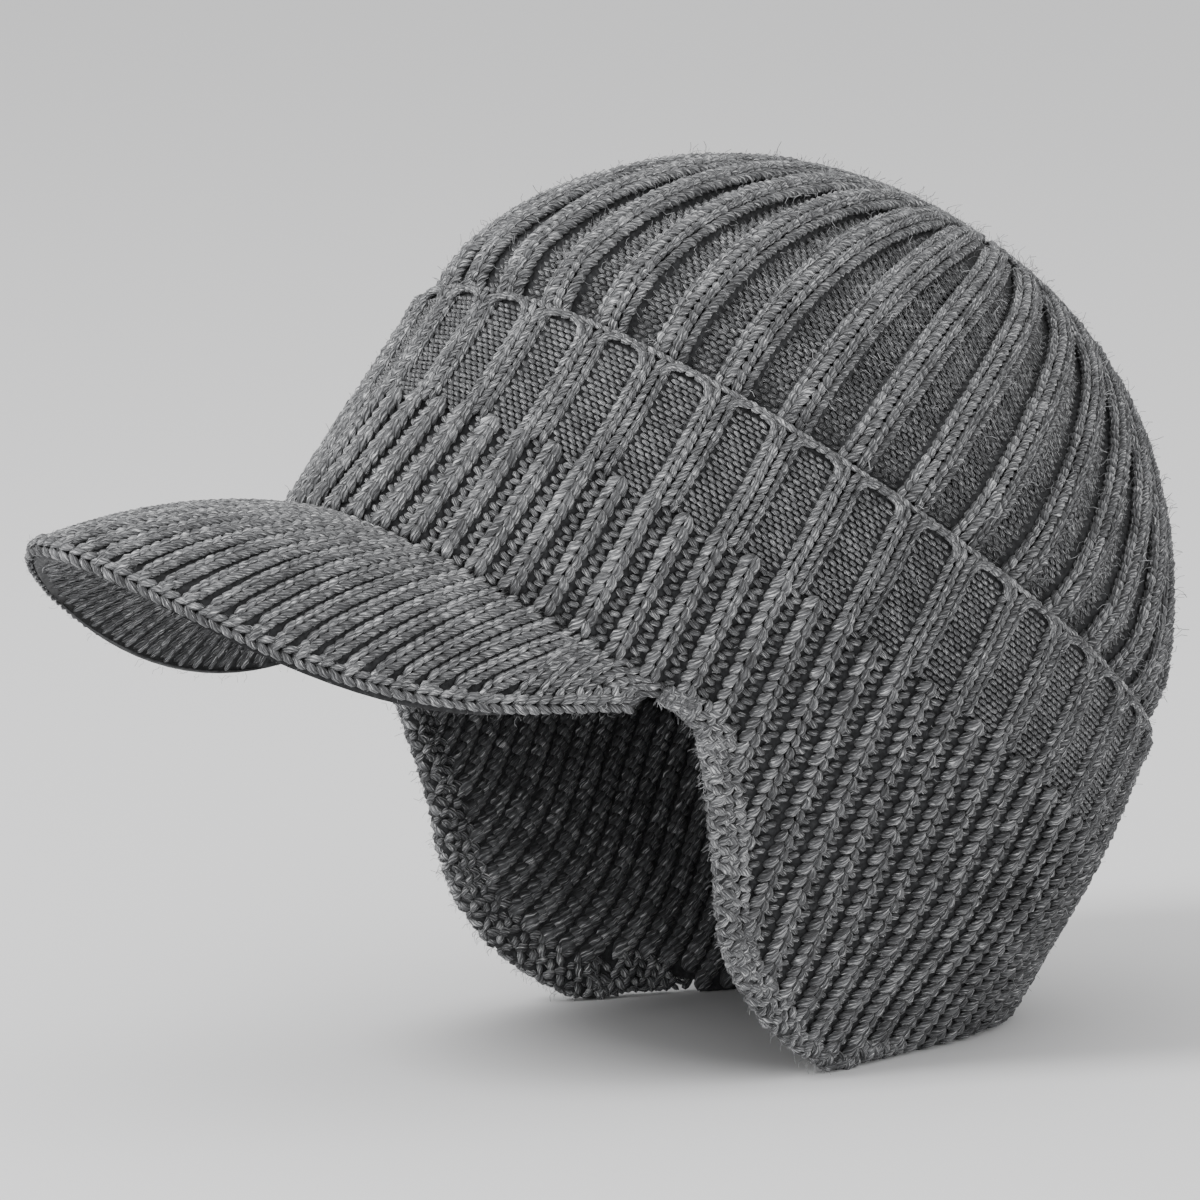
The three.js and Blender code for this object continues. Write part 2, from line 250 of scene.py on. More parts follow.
class RibLines:
    """Angles round the head of ribs that drift over a surface."""

    def __init__(self, surface, drift, last, inset):
        self.steps = np.linspace(0, last, DRIFT_STEPS)
        angles = GROUND_ANGLES
        rows = [angles]
        for here, there in zip(self.steps[:-1], self.steps[1:]):
            start = surface(angles, here, inset)
            ahead = np.linalg.norm(surface(angles, here + DRIFT_NUDGE, inset) - start, axis=-1)
            aside = np.linalg.norm(surface(angles + DRIFT_NUDGE, here, inset) - start, axis=-1)
            angles = angles + np.tan(drift(angles, here)) * ahead / aside * (there - here)
            rows.append(angles)
        self.table = np.array(rows)

    def angle(self, repeat, along):
        base = rib_angle(repeat)
        laps = np.floor(base / TWO_PI)
        turned = base - laps * TWO_PI
        far_side = turned > math.pi
        side = np.where(far_side, TWO_PI - turned, turned)
        column = side / math.pi * (len(GROUND_ANGLES) - 1)
        row = np.clip(np.asarray(along) / self.steps[-1], 0, 1) * (DRIFT_STEPS - 1)
        column, row = np.broadcast_arrays(column, row)
        left = np.minimum(column.astype(int), len(GROUND_ANGLES) - 2)
        above = np.minimum(row.astype(int), DRIFT_STEPS - 2)
        right, down = column - left, row - above
        upper, lower = (
            self.table[at, left] * (1 - right) + self.table[at, left + 1] * right
            for at in (above, above + 1)
        )
        found = upper * (1 - down) + lower * down
        return laps * TWO_PI + np.where(far_side, TWO_PI - found, found)


TUCK_TURNS = np.radians([0, 5.5, 14, 28])
TUCK_SHARES = [1, 0.5, 0.08, 0]
wall_lines = RibLines(wall_point, wall_drift, WALL_LENGTH, 0.0)
inner_lines = RibLines(wall_point, inner_drift, WALL_LENGTH, FABRIC)
crown_lines = RibLines(crown_point, crown_drift, math.radians(89), 0.0)


def crown_rib(repeat, turn, inset):
    tucked = inset + np.interp(turn, TUCK_TURNS, TUCK_SHARES) * (FABRIC + SEAM_GAP)
    return crown_point(crown_lines.angle(repeat, turn), turn, tucked)


def wall_rib(repeat, up, inset):
    return wall_point(wall_lines.angle(repeat, -up), -up, inset)


def inner_rib(repeat, up, inset):
    return wall_point(inner_lines.angle(repeat, -up), -up, inset)


low_angle = wall_lines.angle(RIB_COUNT / 4, 100 * MM)
print("a side rib drifts to", round(math.degrees(low_angle)), "degrees")

# %% [markdown]
# A stitch needs more than a place: it needs to know which way is up the rib, which way is across
# it and which way is out of the cloth. Small steps along the surface give all three.

# %% Directions on a surface
RIB_NUDGE = 2e-3
UP_NUDGE = 2e-4


def unit(vectors):
    return vectors / np.maximum(np.linalg.norm(vectors, axis=-1, keepdims=True), 1e-12)


def surface_frame(surface, repeat, up, inset):
    place = surface(repeat, up, inset)
    across = unit(surface(repeat + RIB_NUDGE, up, inset) - surface(repeat - RIB_NUDGE, up, inset))
    along = unit(surface(repeat, up + UP_NUDGE, inset) - surface(repeat, up - UP_NUDGE, inset))
    outward = unit(np.cross(across, along))
    return place, unit(np.cross(along, outward)), along, outward


def lengths_along(line):
    """Distance along a line of points, from 0 at its first point."""
    return np.concatenate([[0], np.cumsum(np.linalg.norm(np.diff(line, axis=0), axis=1))])


def lean(along, across, degrees):
    turn = np.radians(degrees)[..., None] if np.ndim(degrees) else math.radians(degrees)
    return unit(along * np.cos(turn) + across * np.sin(turn))


# %% [markdown]
# ## One loop of yarn
# Seen from the front, a knitted loop shows two legs that meet in a V, and seen from the back it
# shows short bumps. Both are short fat pieces of yarn with their ends tucked into the cloth. One
# leg could be a curve with a bevel, but there are tens of thousands, so it is a bent ball with a
# few faces that Geometry Nodes sets on points. Each point carries the direction of its leg, its
# size and a shade, and the tree turns, scales and shakes the legs a little with a fixed seed.
# Loose fibres are set by a second tree, which differs only in the shape that it places.

# %% Wires for node trees
class Wire:
    """An output of a node, which can be used in sums like a number."""

    def __init__(self, tree, socket=None):
        self.tree = tree
        self.socket = socket

    def node(self, kind, settings=None, inputs=None, output=0):
        made = self.tree.nodes.new(kind)
        for name, value in (settings or {}).items():
            if name == "stops":
                ramp = made.color_ramp
                while len(ramp.elements) < len(value):
                    ramp.elements.new(0.5)
                for element, (position, colour) in zip(ramp.elements, value):
                    element.position = position
                    element.color = (*colour, 1)
            else:
                setattr(made, name, value)
        for name, value in (inputs or {}).items():
            if isinstance(value, Wire):
                self.tree.links.new(value.socket, made.inputs[name])
            else:
                made.inputs[name].default_value = value
        return Wire(self.tree, made.outputs[output]) if len(made.outputs) else made

    def pick(self, output):
        return Wire(self.tree, self.socket.node.outputs[output])

    def maths(self, operation, first, second=0.0):
        return self.node("ShaderNodeMath", {"operation": operation}, {0: first, 1: second})

    def __add__(self, other):
        return self.maths("ADD", self, other)

    def __radd__(self, other):
        return self.maths("ADD", other, self)

    def __sub__(self, other):
        return self.maths("SUBTRACT", self, other)

    def __rsub__(self, other):
        return self.maths("SUBTRACT", other, self)

    def __mul__(self, other):
        return self.maths("MULTIPLY", self, other)

    def __rmul__(self, other):
        return self.maths("MULTIPLY", other, self)

# %% Trees that set legs of yarn, or loose fibres, on points
STITCH_INPUTS = (
    ("Geometry", ("Points",)),
    ("Float", ("Width", "Thickness", "Length", "Bend")),
    ("Int", ("Sides", "Rings")),
    ("Float", ("Shake",)),
    ("Int", ("Seed",)),
    ("Material", ("Material",)),
)


def leg_of_yarn(start, given):
    """A ball with its UV map, its two ends bent back, scaled to a leg."""
    ball = start.node("GeometryNodeMeshUVSphere", {}, {
        "Segments": given.pick("Sides"), "Rings": given.pick("Rings"), "Radius": 1.0,
    }, "Mesh")
    corners = {"data_type": "FLOAT2", "domain": "CORNER"}
    mapped = start.node("GeometryNodeStoreNamedAttribute", corners, {
        "Geometry": ball, "Name": "yarn_uv", "Value": ball.pick("UV Map"),
    })
    place = start.node("GeometryNodeInputPosition")
    height = start.node("ShaderNodeSeparateXYZ", {}, {0: place}, "Z")
    dip = start.node("ShaderNodeCombineXYZ", {}, {"X": 0.0 - height * height * given.pick("Bend")})
    bent = start.node("GeometryNodeSetPosition", {}, {"Geometry": mapped, "Offset": dip})
    half = start.node("ShaderNodeCombineXYZ", {}, {
        axis: given.pick(label) * 0.5
        for axis, label in (("X", "Thickness"), ("Y", "Width"), ("Z", "Length"))
    })
    return start.node("GeometryNodeTransform", {}, {"Geometry": bent, "Scale": half})


def loose_fibre(start, given):
    """A thin tube along a curl: Bend is its number of turns and Rings its steps."""
    curl = start.node("GeometryNodeCurveSpiral", {}, {
        "Resolution": given.pick("Rings"), "Rotations": given.pick("Bend"),
        "Start Radius": given.pick("Width") * 0.5, "End Radius": given.pick("Width") * 0.3,
        "Height": given.pick("Length"),
    })
    section = start.node("GeometryNodeCurvePrimitiveCircle", {}, {
        "Resolution": given.pick("Sides"), "Radius": given.pick("Thickness") * 0.5,
    })
    return start.node("GeometryNodeCurveToMesh", {}, {
        "Curve": curl, "Profile Curve": section, "Fill Caps": True,
    })


def placing_tree(name, shape):
    """A tree that sets a shape on points by their directions, sizes and a shake."""
    tree = bpy.data.node_groups.new(name, "GeometryNodeTree")
    sockets = {
        label: tree.interface.new_socket(
            label, in_out="INPUT", socket_type="NodeSocket" + kind
        ).identifier for kind, labels in STITCH_INPUTS for label in labels
    }
    tree.interface.new_socket("Cloth", in_out="OUTPUT", socket_type="NodeSocketGeometry")
    start = Wire(tree)
    given = start.node("NodeGroupInput", output="Points")
    smooth = start.node("GeometryNodeSetShadeSmooth", {}, {"Geometry": shape(start, given)})
    carried = {
        label: start.node(
            "GeometryNodeInputNamedAttribute", {"data_type": "FLOAT_VECTOR"}, {"Name": label}
        ) for label in ("along", "outward", "size")
    }
    axes = {"primary_axis": "Z", "secondary_axis": "X"}
    facing = start.node("FunctionNodeAxesToRotation", axes, {
        "Primary Axis": carried["along"], "Secondary Axis": carried["outward"],
    })
    shake = given.pick("Shake")
    least, most = (
        start.node("ShaderNodeCombineXYZ", {}, dict.fromkeys("XYZ", limit))
        for limit in (0.0 - shake, shake)
    )
    wobble = start.node("FunctionNodeRandomValue", {"data_type": "FLOAT_VECTOR"}, {
        "Min": least, "Max": most, "Seed": given.pick("Seed"),
    })
    wobble_turn = start.node("FunctionNodeEulerToRotation", {}, {"Euler": wobble})
    turned = start.node("FunctionNodeRotateRotation", {"rotation_space": "LOCAL"}, {
        "Rotation": facing, "Rotate By": wobble_turn,
    })
    swell = start.node("FunctionNodeRandomValue", {"data_type": "FLOAT"}, {
        "Min": 1.0 - shake, "Max": 1.0 + shake, "Seed": given.pick("Seed") + 7,
    }, 1)
    size = start.node("ShaderNodeVectorMath", {"operation": "SCALE"}, {
        0: carried["size"], "Scale": swell,
    })
    bare = start.node("GeometryNodeInstanceOnPoints", {}, {
        "Points": given, "Instance": smooth, "Rotation": turned, "Scale": size,
    })
    for label in ("along", "outward", "size"):
        bare = start.node("GeometryNodeRemoveAttribute", {}, {"Geometry": bare, "Name": label})
    solid = start.node("GeometryNodeRealizeInstances", {}, {"Geometry": bare})
    finished = start.node("GeometryNodeSetMaterial", {}, {
        "Geometry": solid, "Material": given.pick("Material"),
    })
    start.node("NodeGroupOutput", {}, {"Cloth": finished})
    return tree, sockets


leg_tree = placing_tree("yarn_legs_on_points", leg_of_yarn)
fibre_tree = placing_tree("loose_fibres_on_points", loose_fibre)
print("trees with", len(leg_tree[0].nodes), "and", len(fibre_tree[0].nodes), "nodes")


# %% [markdown]
# Stitches of one kind are collected in a list first, then turned into a mesh of bare points with
# their directions, sizes and shades as attributes. The evaluated result is copied out as a plain
# mesh, so the finished piece has no modifier left on it.

# %% From a list of stitches to a mesh
dice = np.random.default_rng(41)
scene_objects = bpy.context.scene.collection.objects


class Stitches:
    """Places, directions, sizes and shades of many stitches."""

    def __init__(self):
        self.rows = []

    def add(self, place, along, outward, wide=1.0, thick=1.0, long=1.0):
        size = stack(*(np.broadcast_to(measure, len(place)) for measure in (thick, wide, long)))
        along = np.broadcast_to(along, place.shape)
        outward = np.broadcast_to(outward, place.shape)
        self.rows.append((place, along, outward, size))

    def arrays(self):
        return [np.concatenate([row[part] for row in self.rows]) for part in range(4)]


def finish_piece(mesh, name, replaced=()):
    piece = bpy.data.objects.new(name, mesh)
    scene_objects.link(piece)
    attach(piece, "root")
    if replaced:
        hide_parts(*replaced)
    mesh.calc_loop_triangles()
    print(name, "has", len(mesh.loop_triangles), "triangles")
    return piece


def knit(
    name, stitches, material, wide, thick, long, bend=0.5, sides=5, rings=4, shake=0.05, seed=1,
    tree=leg_tree,
):
    """A piece with one leg or fibre of the given size on each stitch."""
    place, along, outward, size = stitches.arrays()
    cloud = bpy.data.meshes.new(name + "_points")
    cloud.from_pydata(place.tolist(), [], [])
    shade = dice.random(len(place))
    for label, kind, field, values in (
        ("along", "FLOAT_VECTOR", "vector", along),
        ("outward", "FLOAT_VECTOR", "vector", outward),
        ("size", "FLOAT_VECTOR", "vector", size),
        ("shade", "FLOAT", "value", shade),
    ):
        layer = cloud.attributes.new(label, kind, "POINT")
        layer.data.foreach_set(field, np.ascontiguousarray(values, dtype=np.float32).ravel())
    holder = bpy.data.objects.new(name + "_points", cloud)
    scene_objects.link(holder)
    modifier = holder.modifiers.new("stitches", "NODES")
    group, sockets = tree
    modifier.node_group = group
    for label, value in (
        ("Width", wide), ("Thickness", thick), ("Length", long), ("Bend", bend), ("Sides", sides),
        ("Rings", rings), ("Shake", shake), ("Seed", seed), ("Material", material),
    ):
        modifier[sockets[label]] = value
    graph = bpy.context.evaluated_depsgraph_get()
    mesh = bpy.data.meshes.new_from_object(
        holder.evaluated_get(graph), preserve_all_data_layers=True, depsgraph=graph
    )
    mesh.name = name
    holder.modifiers.remove(modifier)
    bpy.data.objects.remove(holder)
    bpy.data.meshes.remove(cloud)
    print(name, "has", len(place), "stitches")
    return finish_piece(mesh, name)


# %% [markdown]
# ## Grey melange wool
# The yarn is spun from dark and pale fibres, so no two stitches have quite the same grey, pale
# fibres run along each leg and the twist of its strands shows as slanting grooves. The twist
# follows the leg's own UV map: once round the leg is 0 to 1 across, and end to end is 0 to 1 up.
# Each leg is also painted darker at its flanks and ends, as painted shade where it dips under its
# neighbours.
# A second, plainer finish covers the cloth that lies behind the stitches, painted far darker than
# the yarn as the shade between the legs, and a third one the loose fibres.

# %% Yarn finishes
YARN_STOPS = (
    (0.1, (0.012, 0.012, 0.013)), (0.36, (0.066, 0.067, 0.07)), (0.56, (0.185, 0.188, 0.194)),
    (0.72, (0.44, 0.444, 0.452)), (0.88, (0.85, 0.855, 0.86)),
)
STRANDS = 7
STRAND_TURNS = 2.4


def new_surface(name):
    material = bpy.data.materials.new(name)
    material.use_nodes = True
    material.node_tree.nodes.clear()
    return material, Wire(material.node_tree)


def noise(start, scale, **inputs):
    """Noise at an even scale on the object."""
    place = start.node("ShaderNodeTexCoord", {}, {}, "Object")
    return start.node("ShaderNodeTexNoise", {}, {"Vector": place, "Scale": scale, **inputs}, 0)


def end_surface(start, colour, roughness, normal):
    shader = start.node("ShaderNodeBsdfPrincipled", {}, {
        "Base Color": colour, "Roughness": roughness, "Normal": normal,
        "Specular IOR Level": 0.25, "Sheen Weight": 0.1, "Sheen Roughness": 0.6,
    })
    start.node("ShaderNodeOutputMaterial", {}, {"Surface": shader})


def yarn_finish(name, lighter=0.0):
    material, start = new_surface(name)
    uv = start.node("ShaderNodeUVMap", {"uv_map": "yarn_uv"})
    around = start.node("ShaderNodeSeparateXYZ", {}, {0: uv}, "X")
    endwise = around.pick("Y")
    shade = start.node("ShaderNodeAttribute", {"attribute_name": "shade"}, {}, "Fac")
    twist = start.maths("SINE", (around * STRANDS + endwise * STRAND_TURNS + shade) * TWO_PI)
    fibre_place = start.node("ShaderNodeCombineXYZ", {}, {
        "X": around * 34.0 + endwise * 12.0, "Y": endwise * 3.0, "Z": shade * 60.0,
    })
    fibre = start.node("ShaderNodeTexNoise", {}, {
        "Vector": fibre_place, "Scale": 1.0, "Detail": 2.0, "Roughness": 0.6,
    }, 0)
    fleck = start.node("ShaderNodeMapRange", {}, {0: fibre, 1: 0.56, 2: 0.72})
    patch = noise(start, 120.0, Detail=2.0)
    # Painted shade: each leg is coloured darker away from its outward side and towards its two ends.
    facing = start.maths("COSINE", around * TWO_PI)
    middle = start.maths("SINE", endwise * math.pi)
    painted_flank_shade = facing * 0.11 + middle * 0.2
    grey = fibre * 0.8 + fleck * 0.3 + twist * 0.08 + shade * 0.12 + patch * 0.3
    grey = grey + painted_flank_shade + (lighter - 0.38)
    colour = start.node("ShaderNodeValToRGB", {"stops": YARN_STOPS}, {"Fac": grey})
    bump = start.node("ShaderNodeBump", {}, {
        "Height": twist * 0.6 + fibre * 1.2, "Strength": 0.9, "Distance": 0.3 * MM,
    })
    end_surface(start, colour, fibre * 0.2 + 0.72, bump)
    return material


def painted_shade_backing_finish(name):
    # Painted shade: this cloth is coloured much darker than the yarn, standing for the shade between
    # the legs.
    material, start = new_surface(name)
    grain = noise(start, 700.0, Detail=3.0)
    colour = start.node("ShaderNodeValToRGB", {"stops": (
        (0.3, (0.012, 0.012, 0.013)), (0.6, (0.035, 0.036, 0.038)), (0.8, (0.08, 0.081, 0.084)),
    )}, {"Fac": grain})
    bump = start.node("ShaderNodeBump", {}, {"Height": grain, "Strength": 0.8, "Distance": 0.4 * MM})
    end_surface(start, colour, grain * 0.15 + 0.82, bump)
    return material


def fibre_finish(name):
    material, start = new_surface(name)
    speckle = noise(start, 250.0)
    facing = start.node("ShaderNodeNewGeometry", {}, {}, "Normal")
    colour = start.node("ShaderNodeValToRGB", {"stops": (
        (0.35, (0.1, 0.101, 0.105)), (0.65, (0.45, 0.455, 0.465)),
    )}, {"Fac": speckle})
    end_surface(start, colour, speckle * 0.2 + 0.6, facing)
    return material


crown_yarn, band_yarn, cuff_yarn, peak_yarn = (
    yarn_finish(part + "_yarn") for part in ("crown", "band", "cuff", "peak")
)
edging_yarn = yarn_finish("edging_yarn", 0.04)
painted_shade_backing = painted_shade_backing_finish("cloth_behind_the_stitches_painted_shade")
fibres = fibre_finish("loose_fibres")
print("finishes:", [material.name for material in bpy.data.materials])


# %% [markdown]
# ## Cloth behind the stitches
# Between the legs one looks into the thickness of the cloth. Each part of the cap gets a closed
# shell for that: an outside a little below the stitches, an inside, and the edges that join
# them. It is lofted from columns round the head, as the solid model is. Its finish is painted
# dark, as painted shade between the legs.

# %% Closed shells from columns of points
import bmesh


def shell_mesh(name, columns, material, ring=True):
    """Quads through an array of columns of points, closed up and down, and round the head too."""
    columns = np.asarray(columns)
    across, rows = columns.shape[:2]
    faces = []
    for column in range(across if ring else across - 1):
        here, there = column * rows, ((column + 1) % across) * rows
        for row in range(rows):
            above = (row + 1) % rows
            faces.append((here + row, there + row, there + above, here + above))
    if not ring:
        faces.append(tuple(range(rows)))
        faces.append(tuple(range((across - 1) * rows, across * rows)))
    mesh = bpy.data.meshes.new(name)
    mesh.from_pydata(columns.reshape(-1, 3).tolist(), [], faces)
    shell = bmesh.new()
    shell.from_mesh(mesh)
    bmesh.ops.remove_doubles(shell, verts=shell.verts, dist=0.02 * MM)
    bmesh.ops.recalc_face_normals(shell, faces=shell.faces)
    for face in shell.faces:
        face.smooth = True
    shell.to_mesh(mesh)
    shell.free()
    mesh.materials.append(material)
    return mesh


def ribbed(places, half_width, slope):
    """1 on a rib and 0 between ribs, for places given as shares of a repeat from a rib's middle."""
    away = np.abs((np.asarray(places) + 0.5) % 1 - 0.5)
    return 1 - smoothstep(away, half_width, half_width + slope)


# %% [markdown]
# ## The crown
# The crown is knitted in double ribs: two wales of V stitches stand proud, and the valley
# between them shows the purl bumps of the back of the cloth. Towards the top the valleys close
# first, then two wales are knitted together into one, then every second rib ends, which is how a
# knitter gathers a round cap. The loops below follow each rib up the dome in equal steps and
# pick the number of legs from the width that is left.

# %% Sizes of the crown's stitches
LEG_WIDTH = 2.5 * MM
LEG_COURSE = 2.4 * MM
DOUBLE_RIB_FROM = 8.6 * MM
SINGLE_RIB_FROM = 4.6 * MM
EVERY_SECOND_FROM = 2.3 * MM
EVERY_FOURTH_FROM = 0.95 * MM
CROWN_START_TURN = math.radians(2.5)
CROWN_END_TURN = math.radians(89.0)
LINE_SAMPLES = 500
COLUMN_SPACING = 0.92
# The four legs across a double rib: place in legs, lean in degrees, sink in mm, roll in degrees
CROWN_COLUMNS = (-1.45, -22, 1.7, -42), (-0.5, 22, 0.7, -10), (0.5, -22, 0.7, 10), (1.45, 22, 1.7, 42)
BAND_COLUMNS = (-1.55, 20, 1.2, -26), (-0.55, -20, 0.7, -10), (0.55, 20, 0.7, 10), (1.55, -20, 1.2, 26)
GATHERED_COLUMNS = (-0.47, -20, 1.1, -20), (0.47, 20, 1.1, 20)
LEG_TIP = 12.0
WIDEST_LEG = 1.15


def widths_of_repeat(surface, rib, rows):
    middle = rib + RIB_PHASE
    _, across, _, _ = surface_frame(surface, middle, rows, 0.0)
    gap = surface(middle + 0.5, rows, 0.0) - surface(middle - 0.5, rows, 0.0)
    return np.abs((gap * across).sum(-1))


def crown_rows(rib, course):
    """Turns up the dome at equal steps along one rib, and the width of a repeat at each."""
    turns = np.linspace(CROWN_START_TURN, CROWN_END_TURN, LINE_SAMPLES)
    lengths = lengths_along(crown_rib(rib + RIB_PHASE, turns, 0.0))
    rows = np.interp(np.arange(course / 2, lengths[-1], course), lengths, turns)
    return rows, widths_of_repeat(crown_rib, rib, rows)


# %% Legs of the crown's ribs
def add_legs(stitches, surface, repeat, rows, leaning, sink, roll, wide, tip):
    """Legs on a surface that lean in its plane, roll about the rib and tip in or out, in degrees."""
    place, across, along, outward = surface_frame(surface, repeat, rows, sink)
    outward = lean(outward, across, roll)
    across = unit(np.cross(along, outward))
    tipped = lean(along, outward, tip)
    stitches.add(place, lean(tipped, across, leaning), outward, wide=wide)


def add_double_rib(stitches, surface, rib, rows, columns, spacing, wide, tip):
    for offset, leaning, sink, roll in columns:
        repeat = rib + RIB_PHASE + offset * spacing
        add_legs(stitches, surface, repeat, rows, leaning, sink * MM, roll, wide, tip)


def crown_rib_stitches(ribs):
    stitches = Stitches()
    for rib in ribs:
        rows, pitch = crown_rows(rib, LEG_COURSE)
        double = pitch >= DOUBLE_RIB_FROM
        fit = np.minimum(1, pitch[double] / (4 * LEG_WIDTH))
        spacing = LEG_WIDTH * COLUMN_SPACING * fit / pitch[double]
        add_double_rib(stitches, crown_rib, rib, rows[double], CROWN_COLUMNS, spacing, fit, -LEG_TIP)
        for low, high, every in (
            (SINGLE_RIB_FROM, DOUBLE_RIB_FROM, 1),
            (EVERY_SECOND_FROM, SINGLE_RIB_FROM, 2),
            (EVERY_FOURTH_FROM, EVERY_SECOND_FROM, 4),
        ):
            here = (pitch >= low) & (pitch < high)
            if rib % every or not here.any():
                continue
            wide = np.minimum(WIDEST_LEG, 0.5 * every * pitch[here] / LEG_WIDTH)
            spacing = wide * LEG_WIDTH / pitch[here]
            add_double_rib(
                stitches, crown_rib, rib, rows[here], GATHERED_COLUMNS, spacing, wide, -LEG_TIP
            )
    return stitches


front_ribs = [rib for rib in range(RIB_COUNT) if math.cos(rib_angle(rib + RIB_PHASE)) > 0]
back_ribs = [rib for rib in range(RIB_COUNT) if rib not in front_ribs]
for half, ribs, seed in (("front", front_ribs, 11), ("back", back_ribs, 12)):
    knit("crown_ribs_" + half, crown_rib_stitches(ribs), crown_yarn,
         LEG_WIDTH * 0.96, 2.5 * MM, 4.2 * MM, shake=0.11, seed=seed)

# %% [markdown]
# The valleys are the back of the same loops: short bumps across the valley, each row set half a
# bump along from the last, as bricks are.

# %% Purl bumps in the crown's valleys
BUMP_STEP = 2.45 * MM
BUMP_ROW = 1.3 * MM
BUMP_LEAN = 13.0
VALLEY_SINK = 4.1 * MM
RIB_SHARE = 0.82
LEAST_ROOM = 0.5 * MM


def crown_valley_stitches():
    stitches = Stitches()
    for rib in range(RIB_COUNT):
        rows, pitch = crown_rows(rib + 0.5, BUMP_ROW)
        room = pitch - 4 * LEG_WIDTH * RIB_SHARE
        bumps = np.where(room > LEAST_ROOM, np.clip(np.round(room / BUMP_STEP), 1, 4), 0)
        for count in (1, 2, 3, 4):
            here = bumps == count
            if not here.any():
                continue
            odd = (np.arange(len(rows)) % 2)[here]
            step = np.minimum(BUMP_STEP, room[here] / count)
            for place_in_row in range(count):
                offset = (place_in_row - (count - 1) / 2 + (odd - 0.5) * 0.5) * step
                repeat = rib + 0.5 + RIB_PHASE + offset / pitch[here]
                place, across, along, outward = surface_frame(
                    crown_rib, repeat, rows[here], VALLEY_SINK
                )
                run = lean(across, along, np.where(odd == 1, BUMP_LEAN, -BUMP_LEAN))
                stitches.add(place, run, outward, long=np.clip(step / BUMP_STEP, 0.6, 1.1))
    return stitches


knit("crown_valleys", crown_valley_stitches(), crown_yarn,
     1.35 * MM, 1.5 * MM, 3.1 * MM, sides=4, rings=3, shake=0.1, seed=13)

# %% The crown's closed shell
CROWN_SHELL_PLACES = (0, 0.14, 0.24, 0.33, 0.5, 0.67, 0.76, 0.86)
CROWN_SHELL_TURNS = np.radians([2.5, 6, 10, 15, 22, 30, 38, 46, 54, 61, 67, 73, 78, 82, 85.5, 88, 90])
CROWN_INSIDE_TURNS = np.radians([90, 80, 65, 50, 35, 20, 8])
TUCK_DEPTHS = np.array([CROWN_TUCK, CROWN_TUCK / 2])
CLOSING_TURNS = math.radians(50), math.radians(70)
CROWN_CLOTH_SINK = 4.7 * MM
CROWN_CLOTH_RISE = 2.5 * MM
CROWN_LINING = 1.3 * MM


def crown_columns():
    columns = []
    closing = smoothstep(CROWN_SHELL_TURNS, *CLOSING_TURNS)
    for rib in range(RIB_COUNT):
        for place in CROWN_SHELL_PLACES:
            repeat = rib + RIB_PHASE + place
            high = ribbed(place, 0.2, 0.1)
            high = high + (1 - high) * closing
            sink = CROWN_CLOTH_SINK - CROWN_CLOTH_RISE * high
            outside = crown_rib(repeat, CROWN_SHELL_TURNS, sink)
            angle = crown_lines.angle(repeat, CROWN_INSIDE_TURNS)
            inside = crown_point(angle, CROWN_INSIDE_TURNS, FABRIC + CROWN_LINING)
            tucked_in = wall_point(rib_angle(repeat), TUCK_DEPTHS[::-1], FABRIC * 2)
            tucked_out = wall_point(rib_angle(repeat), TUCK_DEPTHS, FABRIC + SEAM_GAP)
            columns.append(np.concatenate([tucked_out, outside, inside, tucked_in]))
    return columns


def add_cloth(name, columns, node, ring=True):
    mesh = shell_mesh(name, columns, painted_shade_backing, ring)
    return finish_piece(mesh, name, [node])


add_cloth("crown_cloth", crown_columns(), "crown")

# %% [markdown]
# ## The window band
# Under the ridge the cloth is turned up, so the same ribs now hang upside down and their V
# stitches point the other way. Between the double ribs lie flat windows of small purl bumps.

# %% Ribs of the band
BAND_COURSE = 2.3 * MM
BAND_LEG_WIDTH = 2.0 * MM


def column_rows(top, bottom, course):
    count = max(1, int(round((bottom - top) / course)))
    return -(top + (np.arange(count) + 0.5) * (bottom - top) / count)


def band_rib_stitches():
    stitches = Stitches()
    rows = column_rows(1.4 * MM, BAND_HEIGHT + 0.6 * MM, BAND_COURSE)
    for rib in range(RIB_COUNT):
        spacing = BAND_LEG_WIDTH / widths_of_repeat(wall_rib, rib, rows)
        add_double_rib(stitches, wall_rib, rib, rows, BAND_COLUMNS, spacing, 1.0, LEG_TIP)
    return stitches


knit("band_ribs", band_rib_stitches(), band_yarn,
     BAND_LEG_WIDTH * 0.98, 2.3 * MM, 3.9 * MM, shake=0.1, seed=21)

# %% Windows of the band
WINDOW_ROW = 1.22 * MM
WINDOW_STEP = 2.15 * MM
WINDOW_SINK = 1.8 * MM
WINDOW_LEANS = -14.0, -4.0


def band_window_stitches():
    stitches = Stitches()
    rows = column_rows(2.2 * MM, BAND_HEIGHT + 1.4 * MM, WINDOW_ROW)
    odd = np.arange(len(rows)) % 2
    for rib in range(RIB_COUNT):
        pitch = widths_of_repeat(wall_rib, rib + 0.5, rows)
        for place_in_row in range(4):
            offset = (place_in_row - 1.5 + (odd - 0.5) * 0.5) * WINDOW_STEP
            repeat = rib + 0.5 + RIB_PHASE + offset / pitch
            place, across, along, outward = surface_frame(wall_rib, repeat, rows, WINDOW_SINK)
            stitches.add(place, lean(across, along, np.take(WINDOW_LEANS, odd)), outward)
    return stitches


knit("band_windows", band_window_stitches(), band_yarn,
     1.2 * MM, 1.5 * MM, 2.7 * MM, rings=3, shake=0.1, seed=22)

# %% [markdown]
# The ridge is where the cloth turns over. Each window ends there in a small arch of yarn that
# springs from the outer legs of two ribs, and rows of bumps run along the top of the fold.

